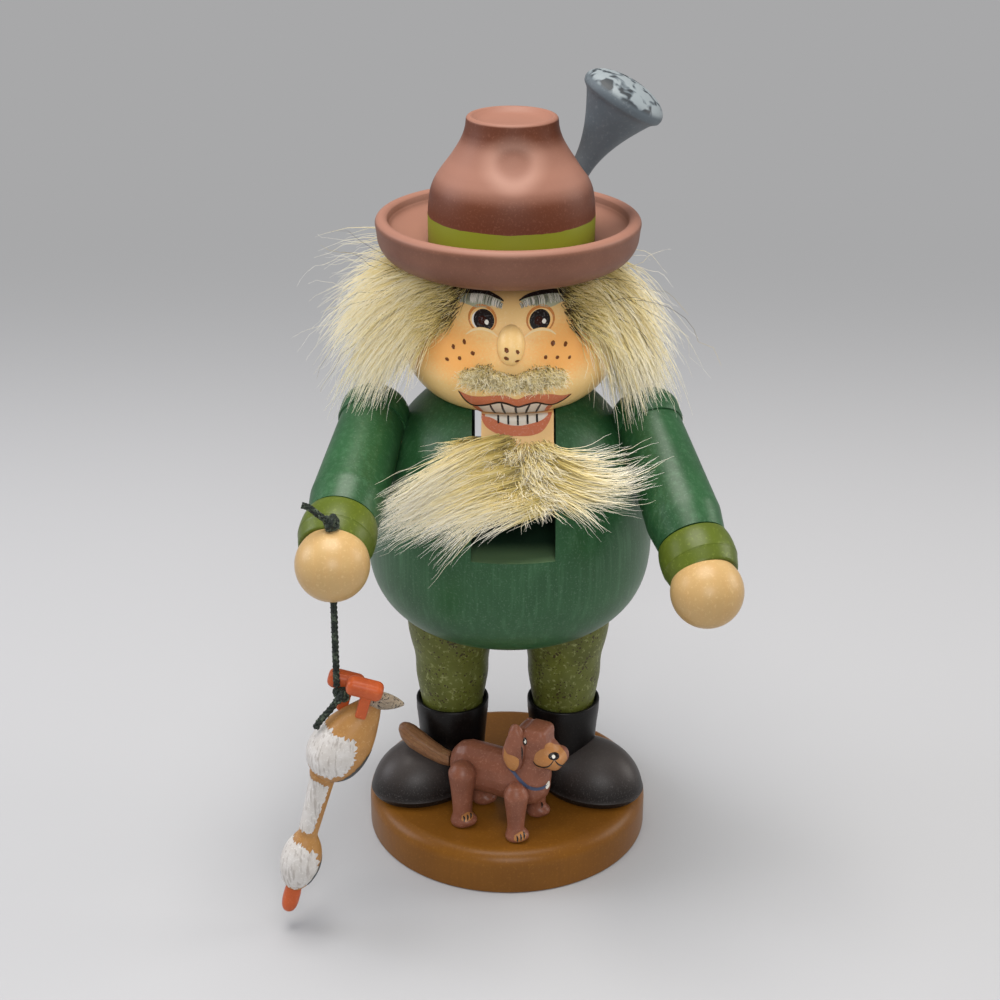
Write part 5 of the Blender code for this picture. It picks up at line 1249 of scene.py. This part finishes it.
def ragged(corners, seed, tooth=0.7, along=0.55):
    # Straight sides turned into the torn edge that a dry brush leaves.
    draw = random.Random(seed)
    line = []
    for a, b in zip(corners, corners[1:] + corners[:1]):
        a, b = Vector(a), Vector(b)
        count = max(int((b - a).length / along), 1)
        out = Vector((b.y - a.y, a.x - b.x)).normalized()
        line += [a.lerp(b, i / count) + out * (tooth * draw.uniform(-0.6, 0.6) if i else 0) for i in range(count)]
    return line


print("goose")
knotAt = Vector(goose["knot"])
breast = knotAt + Vector(goose["breast"])
lean = math.radians(goose["bodyLean"])
bodyAxis = Vector((math.sin(lean), 0, math.cos(lean)))
bodyPlace = aimed(breast, bodyAxis)
length, radius = goose["bodyLength"], goose["bodyRadius"]
bodyLine = smoothLine([(radius * wide, length * along) for along, wide in (
    (1.0, 0.0), (0.985, 0.2), (0.93, 0.38), (0.8, 0.6), (0.64, 0.83), (0.48, 0.99), (0.33, 1.04), (0.2, 0.98),
    (0.1, 0.8), (0.03, 0.52), (0.0, 0.0))], 5)
addTurned("goose_body_turned", bodyLine, "goose_body", gooseOchre, bodyPlace, 72, "goose")
lean = math.radians(goose["neckLean"])
neckAxis = Vector((-math.sin(lean), 0, -math.cos(lean)))
neckPlace = aimed(breast + bodyAxis * radius * 0.35 - neckAxis * 0.3, -neckAxis)
neckLine = smoothLine([(0, -0.3), (2.9, -0.3), (2.9, -0.3), (3.45, -2.0), (3.4, -2.9), (3.1, -4.0), (2.95, -6.0),
                       (2.65, -13.0), (2.42, -19.2), (2.5, -20.6), (3.2, -22.0), (4.3, -24.3), (4.95, -27.4),
                       (4.85, -30.4), (4.0, -33.4), (2.9, -35.4), (2.2, -36.3), (2.2, -36.3), (0, -36.3)], 5)
addTurned("goose_neck_turned", neckLine, "goose_neck_and_head", gooseOchre, neckPlace, 64, "goose")
beakLine = smoothLine([(0, -36.6), (1.95, -36.6), (1.95, -36.6), (2.1, -38.6), (2.05, -41.2), (1.75, -42.9),
                       (1.1, -43.9), (0, -44.15)], 5)
addTurned("goose_beak_turned", beakLine, "goose_beak", gooseOrange, neckPlace, 48, "goose")
dip = math.radians(goose["tailDip"])
tailPlace = aimed(breast + bodyAxis * length * 0.97 + Vector((0.2, 0, 0.7)), (math.cos(dip), 0, -math.sin(dip)))
tailLine = smoothLine([(0, 7.2), (0.5, 6.9), (1.25, 5.4), (1.9, 3.4), (2.2, 1.0), (2.1, -1.6), (2.1, -1.6),
                       (0, -1.6)])
addTurned("goose_tail_turned", tailLine, "goose_tail", tailPaint, tailPlace, 48, "goose")

onBody = wrapped(bodyPlace, radiusOn(bodyLine), radius)
onNeck = wrapped(neckPlace, radiusOn(neckLine), 4.0)
for paint, surface, lift, step, seed, tooth, along, corners in (
        ("gooseWhite", onBody, 0.05, 0.7, 61, 1.3, 0.38, (
            (-14.0, 3.0), (-8.0, 1.7), (-3.5, 1.8), (0.5, 2.4), (3.6, 5.6), (4.0, 8.4), (3.0, 12.2), (0.7, 15.4),
            (-4.2, 14.0), (-8.5, 13.2), (-14.0, 13.0))),
        ("gooseWhite", onNeck, 0.05, 0.6, 62, 0.7, 0.4, (
            (-7.0, -19.0), (1.6, -19.0), (2.4, -12.0), (2.9, -4.6), (-1.0, -3.4), (-7.0, -4.0))),
        ("gooseWhite", onNeck, 0.05, 0.6, 63, 1.2, 0.38, (
            (-7.6, -35.0), (0.8, -35.6), (3.6, -33.4), (4.6, -28.0), (3.2, -23.8), (-0.6, -22.2), (-7.6, -22.0))),
        ("gooseSlate", onBody, 0.09, 0.7, 64, 0.5, 0.55, (
            (4.4, 0.6), (8.0, -0.4), (12.0, 1.0), (14.0, 5.0), (13.2, 9.5), (10.0, 13.2), (7.0, 12.0), (5.2, 6.0))),
        ("gooseSlate", onNeck, 0.09, 0.6, 65, 0.4, 0.55, (
            (3.2, -33.8), (6.0, -34.6), (8.8, -33.4), (10.2, -30.5), (8.8, -27.4), (6.4, -26.4), (4.8, -27.4),
            (4.0, -30.0)))):
    paintPatch(paint, ragged(corners, seed, tooth, along), surface, lift, step)
layPaint("goose_white_patches", gooseWhite, "goose", "gooseWhite")
layPaint("goose_slate_shade", gooseSlate, "goose", "gooseSlate")


def roundedBlock(name, size, place, edge):
    mesh = bevelled(blockMesh(name, -Vector(size) / 2, Vector(size) / 2), edge, 6, limit_method="NONE")
    mesh.transform(place)
    return mesh


tip = Matrix.Rotation(math.radians(goose["feetTip"]), 4, "Y")
for side, key, flat in (("hind", "hindFoot", 0.0), ("fore", "foreFoot", 12.0)):
    footPlace = moved(knotAt + Vector(goose[key])) @ tip
    for part, block, size, place, edge in (
            ("foot", "block", goose["foot"], footPlace @ Matrix.Rotation(math.radians(flat), 4, "X"), goose["edge"]),
            ("leg", "peg", goose["leg"], footPlace @ moved(goose["legFromFoot"]), goose["legEdge"])):
        name = "goose_%s_%s" % (side, part)
        addPiece("%s_%s" % (name, block), roundedBlock(name, size, place, edge), "goose", [name],
                 gooseOrange)


# Dog, carved and painted

dog = {
    "place": (-2.0, -20.5, 11.7), "turn": -26.1,
    "look": (5.0, -24.0, 36.0),          # middle of its painted side, mm
    "voxel": 0.3, "rounds": 7, "lift": 0.06,
}

# Chestnut paint on carved wood, with darker cloudy patches and pale brown specks.
dogBrown = paintedWood("rubbedChestnutPaint", "#895540", "#6E402E", "#B98A74", 0.38, (0.006, 0.6), (0.0006, 0.3))[0]
# Thin tan brush paint on the face, brow and paws, satin.
dogTan = paintedWood("tanDogPaint", "#B27A45", "#96643A", "#CFA271", 0.4, (0.004, 0.5), (0.0006, 0.25))[0]
# Olive-tan glaze over the brown on the tail, with fine hair lines.
tailOlive, tree, place = paintedWood("oliveTailGlaze", "#87603F", "#714B33", "#A58A5E", 0.42, (0.004, 0.8),
                                     (0.0006, 0.3))
hairs = addNode(tree, "TexWave", {"Vector": place, "Scale": 420.0, "Distortion": 5.0, "Detail": 2.0}, "Fac",
                bands_direction="DIAGONAL")
overPaint(tailOlive, hairs, "#3F2A1C", 0.82, 1.0, 0.35)
# Grey-blue brush paint on the collar, satin.
dogBlue = paintedWood("greyBlueCollarPaint", "#4C5670", "#3E465C", "#7A8298", 0.4, (0.004, 0.5), (0.0006, 0.2))[0]


def dogBlock(size, centre, edge):
    return roundedBlock("dogBlock", size, dogPlace @ moved(centre), edge)


def dogEgg(size, centre, tilt=0.0):
    return eggMesh("dogEgg", size, dogPlace @ moved(centre) @ Matrix.Rotation(math.radians(tilt), 4, "Y"))


def dogLeg(x, y, height, girth):
    line = smoothLine([(0, height), (1.9, height - 0.5), (3.2, height - 2.8), (3.05, height - 5.0), (2.6, height * 0.5),
                       (2.25, 4.2), (2.5, 2.4), (2.8, 1.1), (2.55, 0.3), (2.55, 0.3), (0, 0.2)], 5)
    line = [Vector((p.x * girth, p.y)) for p in line]
    return [turnedMesh("dogLeg", line, dogPlace @ Matrix.Translation((x * mm, y * mm, 0)), 40),
            dogEgg((5.6 * girth, 5.0 * girth, 3.4), (x + 0.9, y, 1.75))]


print("dog")
dogPlace = moved(dog["place"]) @ Matrix.Rotation(math.radians(dog["turn"]), 4, "Z")
node = frame["nodes"]
neck = turnedMesh("dogNeck", smoothLine([(0, 27.0), (3.7, 27.0), (4.3, 22.0), (4.9, 15.0), (0, 14.0)], 4),
                  dogPlace @ Matrix.Translation((9.2 * mm, 0, 0)), 48)
dogMeshes = []
for name, parts, nodes, material in (
        ("dog_trunk", [node["dog_body"].data], ["dog_body"], dogBrown),
        ("dog_head_carved", [dogBlock((9.0, 8.6, 8.8), (9.6, -0.1, 26.6), 2.3), neck,
                             dogBlock((6.6, 7.8, 7.2), (10.9, -0.1, 28.1), 1.7),
                             dogBlock((10.4, 8.2, 4.9), (13.3, 0, 23.3), 2.2),
                             dogEgg((8.6, 7.4, 5.6), (12.8, 0, 25.6), 22)], ["dog_head"], dogBrown),
        ("dog_near_ear", [dogEgg(*egg) for egg in (
            ((5.0, 2.8, 9.2), (6.6, -3.7, 28.0), -8), ((4.9, 2.3, 9.5), (6.8, -4.7, 27.2), -8),
            ((5.4, 2.4, 9.0), (6.4, -5.0, 25.6), -8), ((5.8, 2.4, 8.8), (6.0, -5.2, 23.8), -6))],
         ["dog_right_ear"], dogBrown),
        ("dog_far_ear", [dogEgg((4.4, 2.2, 8.0), (6.6, 4.9, 26.0), -8), dogEgg((5.8, 2.4, 9.0), (5.6, 5.1, 22.4), -6)],
         ["dog_left_ear"], dogBrown),
        ("dog_tail_carved", [node["dog_tail"].data], ["dog_tail"], tailOlive),
        ("dog_front_leg_near", dogLeg(7.8, -6.5, 16.6, 1.0), ["dog_right_front_leg"], dogBrown),
        ("dog_front_leg_far", dogLeg(7.8, 6.5, 16.6, 1.0), ["dog_left_front_leg"], dogBrown),
        ("dog_hind_leg_near", dogLeg(-7.8, -6.4, 18.8, 1.14), ["dog_right_hind_leg"], dogBrown),
        ("dog_hind_leg_far", dogLeg(-7.8, 5.6, 16.6, 1.1), ["dog_left_hind_leg"], dogBrown)):
    mesh = carved(name, parts, dog["voxel"], dog["rounds"])
    dogMeshes.append(mesh)
    addPiece(name, mesh, "figure", nodes, material)

allDog = bmesh.new()
for mesh in dogMeshes:
    allDog.from_mesh(mesh)
dogSkin = BVHTree.FromBMesh(allDog)
allDog.free()
pitch = math.radians(camera["pitchDown"])
dogAhead = Vector((0, math.cos(pitch), -math.sin(pitch)))
dogUp = Vector((0, math.sin(pitch), math.cos(pitch)))


def onDog(across, up, lift):
    # From the viewer's side straight onto the carved dog.
    start = Vector(dog["look"]) + Vector((across, 0, 0)) + dogUp * up - dogAhead * 30
    place, normal, _, _ = dogSkin.ray_cast(start * mm, dogAhead)
    if not place:
        place, normal = dogSkin.find_nearest((start + dogAhead * 30) * mm)[:2]
    return place / mm + normal * lift


chest = onDog(4.9, -10.1, 0)


def onChest(across, up, lift):
    # Half from the side and half from ahead onto the chest.
    inward = Vector((-0.6, 0.8, 0))
    start = chest + Vector((0.8, 0.6, 0)) * across + Vector((0, 0, up)) - inward * 30
    place, normal, _, _ = dogSkin.ray_cast(start * mm, inward)
    return place / mm + normal * lift if place else chest


for line in ([(1.5, -3.0), (2.0, -1.0), (3.2, 0.1), (4.1, 0.4), (4.4, 1.4), (5.6, 1.75), (6.9, 1.2), (8.0, 0.85),
              (9.0, -0.2), (9.9, -1.5), (10.1, -4.0), (9.5, -4.9), (6.9, -5.2), (3.9, -5.2), (2.2, -4.5), (1.5, -3.0)],
             [(-5.9, 0.2), (-5.2, -1.2), (-3.6, -1.7), (-2.3, -2.6), (-2.4, -4.6), (-3.6, -5.9), (-5.0, -4.9),
              (-6.1, -2.6), (-5.9, 0.2)]):
    paintPatch("dogTan", smoothLine(line, 4)[:-1], onDog, dog["lift"])
for x, y, wide, tall in ((-1.8, -23.5, 3.3, 2.5), (-15.6, -19.4, 3.2, 2.4)):
    paintPatch("dogTan", blob(x, y, wide, tall, 30, 0.15, 3), onDog, dog["lift"])
layPaint("dog_tan_marks", dogTan, "figure", "dogTan")
# The small white dot on the black nose is a painted glint of light.
for paint, patch, lift in (
        ("dogBlack", blob(-0.75, 2.1, 1.15, 2.1), 0.07), ("dogWhite", blob(-0.7, 2.1, 0.65, 1.15), 0.11),
        ("dogBlack", blob(6.6, -1.6, 2.8, 1.9), 0.09), ("dogWhite", blob(6.55, -1.7, 0.85, 0.9), 0.13),
        ("dogBlack", stroke([(1.4, -3.0), (2.2, -4.1), (3.7, -4.6), (5.4, -4.1), (6.7, -2.4)], 0.42), 0.1),
        ("dogBlack", stroke([(6.7, -2.4), (7.8, -3.6), (8.9, -4.1), (9.9, -3.7)], 0.42), 0.1),
        ("dogBlack", stroke([(-1.6, 1.0), (-1.45, -0.6), (-1.5, -2.7)], 0.36), 0.1)):
    paintPatch(paint, patch, onDog, lift)
for x, y in ((-2.5, -23.9), (-1.6, -23.5), (-0.8, -23.0), (-16.4, -19.8), (-15.5, -19.5), (-14.7, -19.1), (4.0, -16.8)):
    paintPatch("dogBlack", stroke([(x - 0.15, y + 0.8), (x + 0.1, y), (x + 0.05, y - 1.0)], 0.45), onDog, 0.1)
layPaint("dog_black_lines", brush["blackBrushPaint"], "figure", "dogBlack")
paintPatch("dogWhite", blob(0.5, 0.1, 1.7, 2.4, -8), onChest, 0.09)
layPaint("dog_white_marks", brush["whiteBrushPaint"], "figure", "dogWhite")
collar = [(-4.8, -5.4), (-3.3, -6.8), (-1.6, -8.7), (0.1, -10.1), (2.0, -10.7), (3.9, -10.5), (5.2, -9.7)]
paintPatch("dogBlue", stroke(collar, 0.95, 0.6), onDog, 0.08)
layPaint("dog_collar", dogBlue, "figure", "dogBlue")

# Plain turned dowels and the pin keep their own solids.
bareDowel = paintedWood("plainBeechDowel", "#D6B483", "#C9A470", "#E6CCA0", 0.55, (0.006, 0.5), (0.0007, 0.2))[0]
# Drawn steel wire pin: bright, with fine length-wise drawing marks.
steelPin, tree, shader = newMaterial("drawnSteelPin", "#B8B6B2", 0.32)
shader.inputs["Metallic"].default_value = 1.0
along = addNode(tree, "Mapping", {"Vector": addNode(tree, "TexCoord", take="Object"), "Scale": (0.05, 1.0, 1.0)})
drawMarks = addNode(tree, "TexNoise", {"Vector": along, "Scale": 2500.0})
tree.links.new(addNode(tree, "MapRange", (drawMarks, 0, 1, 0.24, 0.42)), shader.inputs["Roughness"])
for name, node in frame["nodes"].items():
    if name.endswith("_dowel"):
        dress(node.data, bareDowel)
    elif name == "jaw_pin":
        dress(node.data, steelPin)
